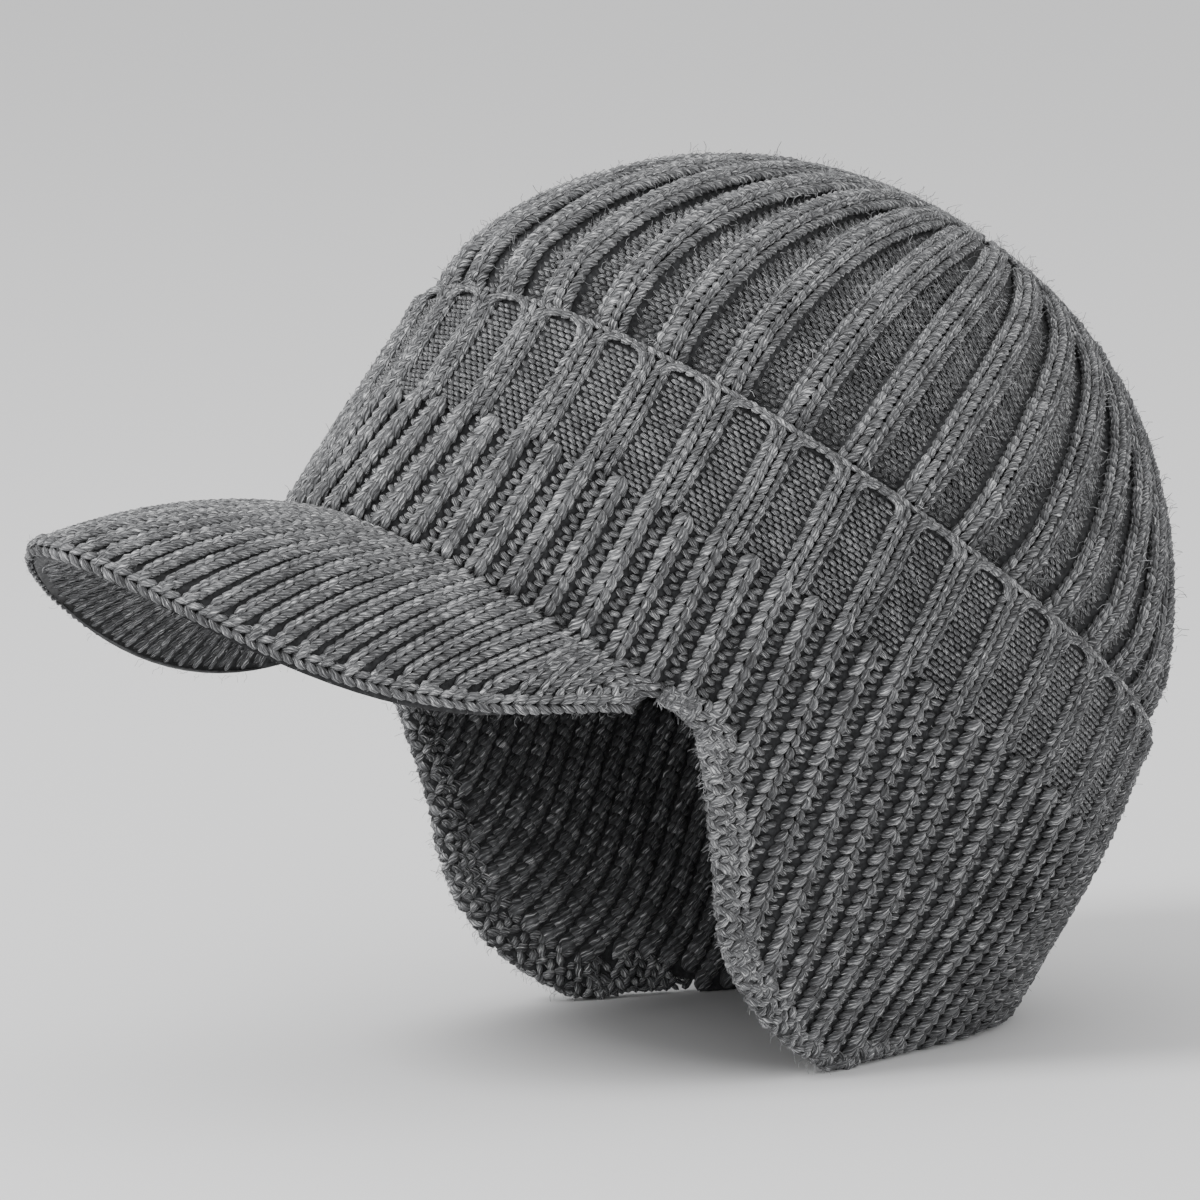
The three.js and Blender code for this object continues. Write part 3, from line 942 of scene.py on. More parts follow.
# %% The turned ridge
ARCH_LEGS = 9
ARCH_FOOT = 4.4 * MM
ARCH_RISE = 3.5 * MM
ARCH_SINK = 0.45 * MM
ARCH_LEAN = 20.0
FOLD_BUMPS = 7
FOLD_ROWS = (0.2, 1.2), (-0.1, 2.7), (0.5, 4.3)
FOLD_LEAN = 16.0
CAP_TOP = np.array([0, math.sin(CAP_TILT), math.cos(CAP_TILT)])


def ridge_stitches():
    arches, bumps = Stitches(), Stitches()
    for rib in range(RIB_COUNT):
        pitch = float(widths_of_repeat(wall_rib, rib + 0.5, np.array([-3 * MM]))[0])
        half = pitch / 2 - 1.4 * BAND_LEG_WIDTH
        turn = math.pi * (np.arange(ARCH_LEGS) + 0.5) / ARCH_LEGS
        offset = -half * np.sign(np.cos(turn)) * np.abs(np.cos(turn)) ** 0.75
        depth = ARCH_FOOT - ARCH_RISE * np.sin(turn) ** 0.7
        repeat = rib + 0.5 + RIB_PHASE + offset / pitch
        place, _, _, outward = surface_frame(wall_rib, repeat, -depth, ARCH_SINK)
        run = unit(np.gradient(place, axis=0))
        arches.add(place, lean(run, unit(np.cross(outward, run)), ARCH_LEAN), outward)
        for row, (fold_depth, sink) in enumerate(FOLD_ROWS):
            places = rib + RIB_PHASE + (np.arange(FOLD_BUMPS) + 0.5 * (row % 2)) / FOLD_BUMPS
            up = np.full(FOLD_BUMPS, -fold_depth * MM)
            spot, over, _, out = surface_frame(wall_rib, places, up, sink * MM)
            facing = unit(out * (1.3 - row) + CAP_TOP * 1.2)
            slant = FOLD_LEAN if row % 2 else -FOLD_LEAN
            bumps.add(spot, lean(over, np.cross(facing, over), slant), facing)
    return arches, bumps


ridge_arches, ridge_bumps = ridge_stitches()
knit("ridge_arches", ridge_arches, band_yarn,
     2.1 * MM, 2.1 * MM, 3.4 * MM, bend=0.3, shake=0.1, seed=23)
knit("ridge_fold", ridge_bumps, band_yarn,
     2.0 * MM, 1.7 * MM, 3.4 * MM, bend=0.4, shake=0.16, seed=24)


# %% The band's closed shell
BAND_DEPTHS = np.array([30, 24, 18, 12, 7, 4]) * MM
FOLD_DEPTHS = np.array([1.6, 0.9, 0.9, 3.0]) * MM
FOLD_SINKS = np.array([1.8, 2.2, 3.8, 4.8]) * MM
BAND_INSIDE_DEPTHS = np.array([11, 22, 30]) * MM
BAND_CLOTH_SINK = 2.6 * MM
BAND_CLOTH_RISE = 0.7 * MM


def band_columns():
    columns = []
    for rib in range(RIB_COUNT):
        for place in CROWN_SHELL_PLACES:
            repeat = rib + RIB_PHASE + place
            high = ribbed(place, 0.22, 0.06)
            outside = wall_rib(repeat, -BAND_DEPTHS, BAND_CLOTH_SINK - BAND_CLOTH_RISE * high)
            fold = wall_rib(repeat, -FOLD_DEPTHS, FOLD_SINKS)
            inside = wall_rib(repeat, -BAND_INSIDE_DEPTHS, FABRIC)
            columns.append(np.concatenate([outside, fold, inside]))
    return columns


add_cloth("band_cloth", band_columns(), "window_band")

# %% [markdown]
# ## The cuff and the ear flaps
# Below the band the ribs are narrow: one wale of V stitches, then a deep groove with a purl bump
# at its bottom. They run down into the flaps and round the nape. The flap's front edge is a
# smooth curve of angle and depth. The same curve, moved in from the edge, says where the cloth
# ends, where the ribs stop, and where each row of knobs of the edging lies.

# %% The flap's edge
PEAK_JUNCTION = 63.8 * MM
PEAK_CORNER = math.radians(65)
FLAP_TOE = math.radians(116)
FLAP_EDGE = (
    (0.015, 0.038), (0.089, 0.047), (0.191, 0.145), (0.318, 0.342),
    (0.434, 0.55), (0.556, 0.804), (0.673, 0.945), (0.846, 1.024),
)
HEM_TURNS = (1, 1.1, 1.2, 1.3)
EDGING_WIDTH = 5 * MM
EDGING_THICKNESS = 5.6 * MM
EDGING_END_SHARE = 0.93
EDGING_END_WIDTH = 0.35
EDGING_END_LENGTH = 0.15
HEM_FADE = 0.12


def smooth_curve(points, shares):
    """Centripetal Catmull-Rom curve through points, at shares of its spans."""
    points = np.asarray(points, dtype=float)
    ends = np.array([2 * points[0] - points[1], *points, 2 * points[-1] - points[-2]])
    spans = len(points) - 1
    made = []
    for share in np.atleast_1d(shares):
        whole = min(spans - 1, int(share * spans))
        part = share * spans - whole
        a, b, c, d = ends[whole:whole + 4]
        first, middle, last = (np.linalg.norm(gap) ** 0.5 for gap in (b - a, c - b, d - c))
        leaving = ((b - a) / first - (c - a) / (first + middle) + (c - b) / middle) * middle
        coming = ((c - b) / middle - (d - b) / (middle + last) + (d - c) / last) * middle
        square, cube = part ** 2, part ** 3
        made.append(
            (2 * cube - 3 * square + 1) * b + (cube - 2 * square + part) * leaving
            + (3 * square - 2 * cube) * c + (cube - square) * coming
        )
    return np.array(made)


def flap_angle(turn):
    return PEAK_CORNER + (FLAP_TOE - PEAK_CORNER) * turn


toe_depth = float(ground(FLAP_TOE, 0.0))
flap_length = toe_depth - PEAK_JUNCTION
edge_points = [
    (flap_angle(turn), (PEAK_JUNCTION + flap_length * drop) / MM) for turn, drop in FLAP_EDGE
] + [(flap_angle(turn), float(ground(flap_angle(turn), 0.0)) / MM) for turn in HEM_TURNS]


def edging_swell(share):
    from_end = np.minimum(share, 1 - share)
    return EDGING_END_WIDTH + (1 - EDGING_END_WIDTH) * np.minimum(1, from_end / EDGING_END_LENGTH)


def flap_edge(shares, distance):
    """The flap's edge, moved a distance in from the edge: angle, depth, run and outward."""
    step = 1e-3
    at, ahead, behind = (
        smooth_curve(edge_points, np.clip(shares + move, 0, 1)) * (1, MM) for move in (0, step, -step)
    )
    here = wall_point(at[:, 0], at[:, 1], 0.0)
    by_angle = (wall_point(at[:, 0] + step, at[:, 1], 0.0) - here) / step
    by_depth = (wall_point(at[:, 0], at[:, 1] + step * MM, 0.0) - here) / (step * MM)
    run = unit(wall_point(*ahead.T, 0.0) - wall_point(*behind.T, 0.0))
    outward = unit(np.cross(by_depth, by_angle))
    inward = np.cross(outward, run)
    turn = (inward * by_angle).sum(-1) / (by_angle ** 2).sum(-1)
    drop = (inward * by_depth).sum(-1) / (by_depth ** 2).sum(-1)
    return at[:, 0] + turn * distance, at[:, 1] + drop * distance, run, outward


def flap_line(distance, fade=1.0):
    """Angles and depths of a line along the flap's edge at a distance that fades along the hem."""
    shares = np.linspace(0, 1, 121)
    along_hem = 1 - smoothstep(shares, fade, fade + HEM_FADE)
    angles, depths, _, _ = flap_edge(shares, distance * edging_swell(shares) * along_hem)
    return np.maximum.accumulate(angles), depths


cloth_line = flap_line(3.6 * MM)
rib_line = flap_line(6.8 * MM, fade=0.62)
inner_rib_line = flap_line(9.5 * MM)


def cuff_depth(angle, inset, line):
    """Depth of the cuff's lower edge: over the peak, along the edging, then on the floor."""
    side = fold_angle(angle)
    floor_here = ground(side, inset)
    edge = np.interp(side, [PEAK_CORNER, *line[0]], [PEAK_JUNCTION, *line[1]])
    edge = np.where(side > line[0][-1], floor_here, np.minimum(edge, floor_here))
    return np.where(side <= PEAK_CORNER, PEAK_JUNCTION, edge)


END_DEPTHS = np.linspace(BAND_HEIGHT, WALL_LENGTH, 520)


def rib_end(lines, repeat, inset, line):
    """Depth at which a rib meets the lower edge."""
    beyond = END_DEPTHS >= cuff_depth(lines.angle(repeat, END_DEPTHS), inset, line)
    return float(END_DEPTHS[np.argmax(beyond)])


print("toe of the flap at depth", round(toe_depth, 4))

# %% Legs and grooves of the cuff
CUFF_COURSE = 2.8 * MM
CUFF_LEG_WIDTH = 2.45 * MM
CUFF_SHIFT = -0.1
GROOVE_ROW = 1.45 * MM
CUFF_TOP = BAND_HEIGHT + 0.2 * MM
CUFF_SINK = 0.8 * MM
CUFF_LEAN = 25.0
CUFF_ROLL = 24.0
GROOVE_SINK = 2.35 * MM
GROOVE_SHIFT = 0.03
GROOVE_LEAN = 16.0
LOWEST_STITCH = 1.3 * MM


def cuff_stitches():
    legs, bumps = Stitches(), Stitches()
    for rib in range(2 * RIB_COUNT):
        middle = RIB_PHASE + CUFF_SHIFT + rib / 2
        rows = column_rows(CUFF_TOP, rib_end(wall_lines, middle, 0.0, rib_line), CUFF_COURSE)
        pitch = widths_of_repeat(wall_rib, middle - RIB_PHASE, rows) / 2
        wide = np.clip(pitch * 0.32 / CUFF_LEG_WIDTH, 0.6, 1.06)
        for side in (-1, 1):
            repeat = middle + side * 0.47 * wide * CUFF_LEG_WIDTH / (2 * pitch)
            keep = wall_rib(repeat, rows, CUFF_SINK)[:, 2] > LOWEST_STITCH
            add_legs(
                legs, wall_rib, repeat[keep], rows[keep], -side * CUFF_LEAN, CUFF_SINK,
                side * CUFF_ROLL, wide[keep], LEG_TIP,
            )
        groove = middle + 0.25
        rows = column_rows(CUFF_TOP, rib_end(wall_lines, groove, 1.6 * MM, rib_line), GROOVE_ROW)
        odd = np.where(np.arange(len(rows)) % 2, 1, -1)
        place, across, along, outward = surface_frame(
            wall_rib, groove + odd * GROOVE_SHIFT, rows, GROOVE_SINK
        )
        keep = place[:, 2] > LOWEST_STITCH
        bumps.add(place[keep], lean(across, along, odd * GROOVE_LEAN)[keep], outward[keep])
    return legs, bumps


cuff_legs, groove_bumps = cuff_stitches()
knit("cuff_ribs", cuff_legs, cuff_yarn,
     CUFF_LEG_WIDTH * 1.04, 2.7 * MM, 5.0 * MM, bend=0.45, shake=0.1, seed=31)
knit("cuff_grooves", groove_bumps, cuff_yarn,
     1.7 * MM, 1.9 * MM, 3.6 * MM, bend=0.4, rings=3, shake=0.15, seed=32)

# %% [markdown]
# The inside of the flaps shows finer ropes than the outside. They lean the other way, towards
# the front, because the turned-up cloth has two layers and the inner one is pulled by the face.

# %% Ropes inside the cuff
INNER_RIBS = 126
INNER_COURSE = 3.0 * MM
INNER_TOP = 34 * MM
INNER_SINK = FABRIC - 0.3 * MM
INNER_LEAN = 9.0


def inner_stitches():
    stitches = Stitches()
    for rib in range(INNER_RIBS):
        repeat = RIB_PHASE + rib * RIB_COUNT / INNER_RIBS
        end = rib_end(inner_lines, repeat, FABRIC, inner_rib_line)
        rows = column_rows(INNER_TOP, end, INNER_COURSE)
        place, across, along, outward = surface_frame(inner_rib, repeat, rows, INNER_SINK)
        neighbour = inner_rib(repeat + RIB_COUNT / INNER_RIBS, rows, FABRIC) - place
        wide = np.abs((neighbour * across).sum(-1)) / (4.4 * MM)
        keep = place[:, 2] > LOWEST_STITCH
        leaning = lean(along, across, INNER_LEAN)
        stitches.add(place[keep], leaning[keep], -outward[keep], wide=wide[keep])
    return stitches


knit("inner_ribs", inner_stitches(), cuff_yarn,
     4.3 * MM, 3.2 * MM, 7.0 * MM, bend=0.12, shake=0.04, seed=33)


# %% The cuff's closed shell
COLUMNS_A_REPEAT = 12
CUFF_CLOTH_SINK = 3.3 * MM
CUFF_CLOTH_RISE = 1.6 * MM
HEM_GAP = 0.4 * MM


def cuff_columns():
    columns = []
    shares = np.linspace(0, 1, 16)
    top = BAND_HEIGHT + SEAM_GAP
    for step in range(RIB_COUNT * COLUMNS_A_REPEAT):
        place = step / COLUMNS_A_REPEAT
        repeat = RIB_PHASE + CUFF_SHIFT + place
        high = 0.5 + 0.5 * math.cos(4 * math.pi * place)
        groove = CUFF_CLOTH_SINK - CUFF_CLOTH_RISE * high
        outer_edge = rib_end(wall_lines, repeat, groove, cloth_line) - HEM_GAP
        inner_edge = rib_end(wall_lines, repeat, FABRIC, cloth_line) - HEM_GAP
        outside = wall_rib(repeat, -(top + shares * (outer_edge - top)), groove)
        inside = wall_rib(repeat, -(top + shares[::-1] * (inner_edge - top)), FABRIC)
        columns.append(np.concatenate([outside, inside]))
    return columns


add_cloth("cuff_cloth", cuff_columns(), "ear_flap_cuff")

# %% [markdown]
# ## The edging of the flaps
# The front edge of each flap is finished with a thick selvedge of garter stitch: knobbly rows
# that lie beside and over a soft roll. The roll is lofted along the edge, and the rows of knobs
# go round it and over the cloth next to it, outside and inside.

# %% Rolls and knobs of the edging
ROLL_TURNS = (-100, -55, 0, 55, 100, 180)
ROLL_HALF_WIDTH = 0.38 * EDGING_WIDTH
ROLL_HALF_THICKNESS = 0.34 * EDGING_THICKNESS
KNOB_STEP = 2.3 * MM
KNOB_LEAN = 38.0
KNOB_SINK = 0.75 * MM
# Rows beside the roll: distances from the edge in mm, inset, way they face and share of the edge
CLOTH_ROWS = (
    ((4.4, 6.6), 1.0 * MM, 1, 0.7),
    ((4.4, 6.6, 8.8), FABRIC - 0.2 * MM, -1, 1.0),
)


def edging_roll(name, mirror):
    shares = np.linspace(0, EDGING_END_SHARE, 60)
    swell = edging_swell(shares)
    angle, depth, run, outward = flap_edge(shares, EDGING_WIDTH * swell / 2)
    centre = wall_point(angle, depth, FABRIC / 2)
    wide = np.cross(run, outward) * (ROLL_HALF_WIDTH * swell)[:, None]
    thick = outward * (ROLL_HALF_THICKNESS * swell)[:, None]
    turn = np.linspace(0, TWO_PI, 10, endpoint=False)[:, None]
    loops = centre[:, None] + wide[:, None] * np.cos(turn) + thick[:, None] * np.sin(turn)
    loops[..., 2] = np.maximum(loops[..., 2], SEAM_GAP)
    add_cloth(name + "_roll", loops * mirror, name, ring=False)
    return lengths_along(centre)[-1]


def edging(side, name):
    mirror = np.array([side, 1, 1])
    count = int(edging_roll(name, mirror) / KNOB_STEP)
    knobs = Stitches()

    def add_row(row, places, facing, run, swell):
        over = unit(np.cross(facing, run))
        slant = np.where((np.arange(count) + row) % 2, KNOB_LEAN, -KNOB_LEAN)
        places[:, 2] = np.maximum(places[:, 2], LOWEST_STITCH)
        long = (0.8 + 0.4 * dice.random(count)) * swell ** 0.3
        wide = 0.85 + 0.3 * dice.random(count)
        direction = lean(over, run, slant)
        knobs.add(places * mirror, direction * mirror, facing * mirror, long=long, wide=wide)

    def spread(row):
        jitter = dice.normal(0, 0.1, count)
        places = (np.arange(count) + 0.5 * (row % 2) + 0.25 + jitter) / count
        return np.clip(places * EDGING_END_SHARE, 0, 1)

    for row, lift in enumerate(ROLL_TURNS):
        at = spread(row)
        swell = edging_swell(at)
        angle, depth, run, outward = flap_edge(at, EDGING_WIDTH * swell / 2)
        rise, aside = math.cos(math.radians(lift)), math.sin(math.radians(lift))
        facing = outward * rise + np.cross(run, outward) * aside
        reach = 0.5 * math.hypot(EDGING_THICKNESS * rise, EDGING_WIDTH * aside) - KNOB_SINK
        places = wall_point(angle, depth, FABRIC / 2) + facing * (reach * swell)[:, None]
        add_row(row, places, facing, run, swell)
    for distances, inset, way, last in CLOTH_ROWS:
        for row, distance in enumerate(distances):
            at = spread(row + 1) * last
            swell = edging_swell(at)
            angle, depth, run, outward = flap_edge(at, distance * MM * swell)
            add_row(row, wall_point(angle, depth, inset), outward * way, run, swell)
    knit(name + "_knobs", knobs, edging_yarn,
         2.35 * MM, 2.3 * MM, 3.9 * MM, bend=0.35, shake=0.15, seed=41)


edging(1, "flap_edging_left")
edging(-1, "flap_edging_right")

# %% [markdown]
# ## The peak
# The peak is a padded bill in a knitted cover. Its wales run from the cuff to the front edge,
# turn over it and run back underneath, and a chain of loops follows the edge itself. The same
# sections that shape the solid model give the lines that the wales follow.

# %% Sections of the peak
PEAK_THICKNESS = 7.5 * MM
PEAK_REACH = 116.6 * MM
PEAK_TIP_RISE = 36.2 * MM
PEAK_SIDE_SAG = 37 * MM
PEAK_SIDE_SKEW = 12 * MM
PEAK_PLAN_POWER = 1.45
PEAK_CAMBER = 4 * MM
PEAK_CORNER_DROP = 1.5 * MM
PEAK_ROLL = 0.07
CUFF_RIB_DEPTH = 1.6 * MM
TOP_STEPS = 60
RIM_STEPS = 24


def peak_rim(turn):
    depth = PEAK_JUNCTION + SEAM_GAP + PEAK_THICKNESS + PEAK_CORNER_DROP
    end = wall_point(PEAK_CORNER, depth, FABRIC / 2)
    across = end[0] * np.sin(turn)
    low = np.sin(turn) ** 2
    arch = low * (1 - low)
    sag = (PEAK_SIDE_SAG - PEAK_SIDE_SKEW * (1 - 2 * low)) * arch
    rise = PEAK_TIP_RISE * (1 - low) - sag + PEAK_ROLL * across * np.cos(turn)
    forward = PEAK_REACH * np.maximum(0, np.cos(turn)) ** PEAK_PLAN_POWER
    return stack(across, end[1] - forward, end[2] + rise)


def peak_section(side, steps=TOP_STEPS, rim_steps=RIM_STEPS):
    """Points from the cuff over the top, round the rim and back underneath, for sides -1 to 1."""
    side = np.atleast_1d(side)
    middling = np.cos(side * math.pi / 2)[:, None]
    angle = side * PEAK_CORNER
    top = PEAK_JUNCTION + SEAM_GAP
    lip = wall_point(angle, top, CUFF_RIB_DEPTH / 2)
    heel = wall_point(angle, top + PEAK_THICKNESS, FABRIC)
    up = unit(lip - heel) * PEAK_THICKNESS / 2
    up = up + (np.array([0, 0, PEAK_THICKNESS / 2]) - up) * middling
    middle = peak_rim(side * math.pi / 2) + up
    out = middle - lip
    straight = unit(up)
    out = out - straight * (out * straight).sum(-1, keepdims=True)
    reach = np.linalg.norm(out, axis=-1, keepdims=True)
    out = unit(out) * np.minimum(PEAK_THICKNESS / 2, reach / 2)
    hub = middle - out
    camber = up * PEAK_CAMBER * middling / (PEAK_THICKNESS / 2)
    points = []
    for share in np.linspace(0, 1, steps, endpoint=False):
        points.append(lip + (hub + up - lip) * share + camber * 4 * share * (1 - share))
    for turn in np.linspace(0, math.pi, rim_steps, endpoint=False):
        points.append(hub + up * math.cos(turn) + out * math.sin(turn))
    for share in np.linspace(0, 1, steps):
        points.append(hub - up + (heel - hub + up) * share + camber * 4 * share * (1 - share))
    return np.stack(points, axis=1)


# %% [markdown]
# Seen from above, the wales of the peak run straight forward in the middle and lean in a little
# at the sides. So each wale is followed in plan, and tables of the top give the height and the
# outward direction at any place in plan. At the two corners the top is too short for that, and
# slanting wales cross its rim there.

# %% Lines of the wales over the top
PLAN_STEP = 0.5 * MM
LEAST_PLAN_ROWS = 4
# Distances from the middle in mm, and the turn of a wale away from it there in degrees
WALE_OUT = (0, 10, 30, 38, 47, 52, 56, 60, 75)
WALE_TURN = (0, 3, 3, 0, -4, -9, -13, -20, -28)
sides = np.linspace(-0.993, 0.993, 399)
top_points = peak_section(sides)[:, :TOP_STEPS + 1]
top_normals = unit(np.cross(np.gradient(top_points, axis=1), np.gradient(top_points, axis=0)))
top_normals *= np.sign(top_normals[..., 2:])
plan_ys = np.arange(top_points[..., 1].min(), top_points[..., 1].max(), PLAN_STEP)
top_table = np.full((len(plan_ys), len(sides), 6), np.nan)
for column in range(len(sides)):
    front_to_back = top_points[column, ::-1]
    inside = (plan_ys >= front_to_back[0, 1]) & (plan_ys <= front_to_back[-1, 1])
    values = np.concatenate([front_to_back, top_normals[column, ::-1]], axis=1)
    for part, known in enumerate(values.T):
        top_table[inside, column, part] = np.interp(plan_ys[inside], front_to_back[:, 1], known)


def wale_slope(x):
    turn = np.interp(np.abs(x), np.array(WALE_OUT) * MM, np.radians(WALE_TURN))
    return np.tan(turn) * np.sign(x)


def wale_line(x, y):
    """A wale through a place in plan: points, outward directions and its side at the rim."""
    start = int(np.clip(round((y - plan_ys[0]) / PLAN_STEP), 0, len(plan_ys) - 1))
    places = np.full(len(plan_ys), x)
    for row in range(start, len(plan_ys) - 1):
        places[row + 1] = places[row] - wale_slope(places[row]) * PLAN_STEP
    for row in range(start, 0, -1):
        places[row - 1] = places[row] + wale_slope(places[row]) * PLAN_STEP
    found = []
    for row in range(len(plan_ys) - 1, -1, -1):
        known = np.flatnonzero(~np.isnan(top_table[row, :, 0]))
        if not len(known):
            continue
        xs = top_table[row, known, 0]
        gap = np.diff(known)
        part = np.searchsorted(xs, places[row])
        if part == 0 or part == len(xs) or gap[part - 1] > 1:
            if found:
                break
            continue
        share = (places[row] - xs[part - 1]) / (xs[part] - xs[part - 1])
        low, high = known[part - 1], known[part]
        mixed = top_table[row, low] * (1 - share) + top_table[row, high] * share
        found.append(np.concatenate([mixed, [sides[low] * (1 - share) + sides[high] * share]]))
    if len(found) < LEAST_PLAN_ROWS:
        return None
    found = np.array(found)
    return found[:, :3], unit(found[:, 3:6]), float(found[-1, 6])


middle_points, middle_normals = top_points[:, TOP_STEPS // 2], top_normals[:, TOP_STEPS // 2]
plan_slope = wale_slope(middle_points[:, 0])
rise = -(middle_normals[:, 0] * plan_slope - middle_normals[:, 1]) / middle_normals[:, 2]
wale_ways = unit(stack(plan_slope, -1.0, rise))
apart = np.diff(middle_points, axis=0)
apart = apart - wale_ways[1:] * (apart * wale_ways[1:]).sum(-1, keepdims=True)
peak_widths = np.concatenate([[0], np.cumsum(np.linalg.norm(apart, axis=1))])
print("the peak is", round(peak_widths[-1], 4), "m wide across its wales")


# %% Wales of the peak
def steps_along(line, course, start=0.0):
    """Even steps along a line of points, and a function that reads any values at them."""
    lengths = lengths_along(line)
    steps = np.arange(start + course / 2, lengths[-1], course)

    def read(values):
        return np.stack([np.interp(steps, lengths, values[:, axis]) for axis in range(3)], axis=-1)

    return read


WALE_COURSE = 2.7 * MM
WALE_PITCH = 4.0 * MM
WALE_LEAN = 13.0
WALE_ROLL = 28.0
WALE_TIP = 8.0
WALE_SINK = 0.8 * MM
WALE_HALF_GAP = 0.22
UNDER_PITCH = 3.2 * MM
UNDER_LEAN = 9.0
UNDER_SINK = 0.5 * MM
UNDER_START = TOP_STEPS + 22
UNDER_GAP = 3.6 * MM
RIM_PART = 7
RIM_JOIN = 2.5 * MM
CORNER_FROM = 0.73
CORNER_TO = 0.985
CORNER_STEP = 0.034
CORNER_LEAN = 0.07
LAST_SIDE = 0.992
SIDE_STEP = 0.003


def rim_core(sections):
    """The middle of the thickness behind the rim, in each section."""
    return (sections[:, TOP_STEPS] + sections[:, TOP_STEPS + RIM_STEPS]) / 2


def add_wale(stitches, line, outward, pitch, leaning, start=0.0):
    read = steps_along(line, WALE_COURSE, start)
    place, forward, facing = read(line), unit(read(np.gradient(line, axis=0))), unit(read(outward))
    beside = unit(np.cross(facing, forward))
    for leg in (-1, 1):
        spot = place + beside * (leg * WALE_HALF_GAP * pitch) - facing * WALE_SINK
        tilted = lean(facing, beside, leg * WALE_ROLL)
        level = unit(np.cross(tilted, forward))
        direction = lean(lean(-forward, facing, WALE_TIP), level, leg * leaning)
        stitches.add(spot, direction, tilted)


def corner_wale(side, way):
    """A slanting wale over the top and rim of one corner, where the sections are short."""
    places = np.arange(TOP_STEPS + RIM_PART + 1)
    spread = way * np.minimum(side + CORNER_LEAN * (1 - places / places[-1]), LAST_SIDE)
    before, here, after = (peak_section(spread + move) for move in (-SIDE_STEP, 0, SIDE_STEP))
    line = here[places, places]
    beside = after[places, places] - before[places, places]
    return line, unit(np.cross(here[places, places + 1] - line, beside))


def over_stitches():
    stitches = Stitches()
    count = int(round(peak_widths[-1] / WALE_PITCH))
    widths = (np.arange(count) + 0.5) / count * peak_widths[-1]
    for seed in zip(*(np.interp(widths, peak_widths, middle_points[:, axis]) for axis in (0, 1))):
        wale = wale_line(*seed)
        if wale is None or abs(wale[2]) > CORNER_FROM:
            continue
        line, outward, side = wale
        section = peak_section([side])
        round_rim = section[0, TOP_STEPS + 1:TOP_STEPS + RIM_PART + 1]
        if np.linalg.norm(round_rim[0] - line[-1]) < RIM_JOIN:
            line = np.concatenate([line, round_rim])
            outward = np.concatenate([outward, unit(round_rim - rim_core(section))])
        add_wale(stitches, line, outward, WALE_PITCH, WALE_LEAN)
    for way in (-1, 1):
        for side in np.arange(CORNER_FROM + CORNER_STEP / 2, CORNER_TO, CORNER_STEP):
            add_wale(stitches, *corner_wale(side, way), WALE_PITCH, WALE_LEAN)
    return stitches


def under_stitches():
    stitches = Stitches()
    count = int(round(peak_widths[-1] / UNDER_PITCH))
    at = np.interp((np.arange(count) + 0.5) / count * peak_widths[-1], peak_widths, sides)
    for side, half in zip(at, np.gradient(at) / 2):
        left, line, right = peak_section([side - half, side, side + half])[:, UNDER_START:]
        outward = unit(np.cross(np.gradient(line, axis=0), right - left))
        line = line - outward * UNDER_SINK
        add_wale(stitches, line, outward, UNDER_PITCH, UNDER_LEAN, UNDER_GAP)
    return stitches


knit("peak_wales_over", over_stitches(), peak_yarn,
     2.05 * MM, 2.2 * MM, 4.6 * MM, bend=0.3, shake=0.07, seed=51)
knit("peak_wales_under", under_stitches(), peak_yarn,
     1.7 * MM, 1.9 * MM, 5.4 * MM, bend=0.2, sides=4, seed=52)


# %% Chain along the rim, and the padded core
CHAIN_PART = 9
CHAIN_COURSE = 2.9 * MM
CHAIN_HALF_GAP = 1.1 * MM
CHAIN_SINK = 0.45 * MM
CHAIN_LEAN = 24.0
CHAIN_ROLL = 20.0
PAD_SINK = 1.5 * MM


def peak_chain_stitches():
    chain = Stitches()
    fine = peak_section(np.linspace(-0.975, 0.975, 600))
    line = fine[:, TOP_STEPS + CHAIN_PART]
    read = steps_along(line, CHAIN_COURSE)
    place, run = read(line), unit(read(np.gradient(line, axis=0)))
    outward = unit(place - read(rim_core(fine)))
    beside = unit(np.cross(run, outward))
    for leg in (-1, 1):
        spot = place + beside * leg * CHAIN_HALF_GAP - outward * CHAIN_SINK
        facing = lean(outward, beside, leg * CHAIN_ROLL)
        chain.add(spot, lean(run, beside, leg * CHAIN_LEAN), facing)
    return chain


knit("peak_chain", peak_chain_stitches(), peak_yarn,
     2.1 * MM, 1.9 * MM, 4.6 * MM, shake=0.08, seed=53)
core_sides = np.linspace(-0.995, 0.995, 61)
core_sections = peak_section(core_sides, 12, 8)
core_outward = unit(np.cross(*(np.gradient(core_sections, axis=axis) for axis in (1, 0))))
core_columns = core_sections - core_outward * PAD_SINK
peak_core = add_cloth("peak_pad", core_columns, "peak", ring=False)

# %% [markdown]
# ## Loose fibres
# Brushed wool sheds short curled fibres that stand off the cloth, most of all on the crown and
# along the raw edges. Each one is a thin curled tube, set on points by the same kind of tree.

# %% Fibres that stand off the wool
WALL_ENDS = 145
FIBRE_HEM_GAP = 2 * MM


def add_fibres(stitches, place, outward, run, sizes, strays, mirror=1):
    """Fibres of random sizes that stray from the outward and the run direction."""
    size = dice.uniform(*sizes, len(place))
    stray_out, stray_run = (
        unit(way + dice.normal(0, stray, way.shape)) for way, stray in zip((outward, run), strays)
    )
    stitches.add(place * mirror, stray_out * mirror, stray_run * mirror, size, size, size)


def crown_fibres(stitches, count):
    repeat = dice.uniform(0, RIB_COUNT, count)
    turn = np.radians(3 + 82 * dice.random(count) ** 0.85)
    place, across, _, outward = surface_frame(crown_rib, repeat, turn, 0.0)
    sink = np.where(ribbed(repeat - RIB_PHASE, 0.25, 0.08) > 0.5, 0.6, 3.0) * MM
    add_fibres(stitches, place - outward * sink[:, None], outward, across, (0.5, 1.25), (0.7, 0.8))


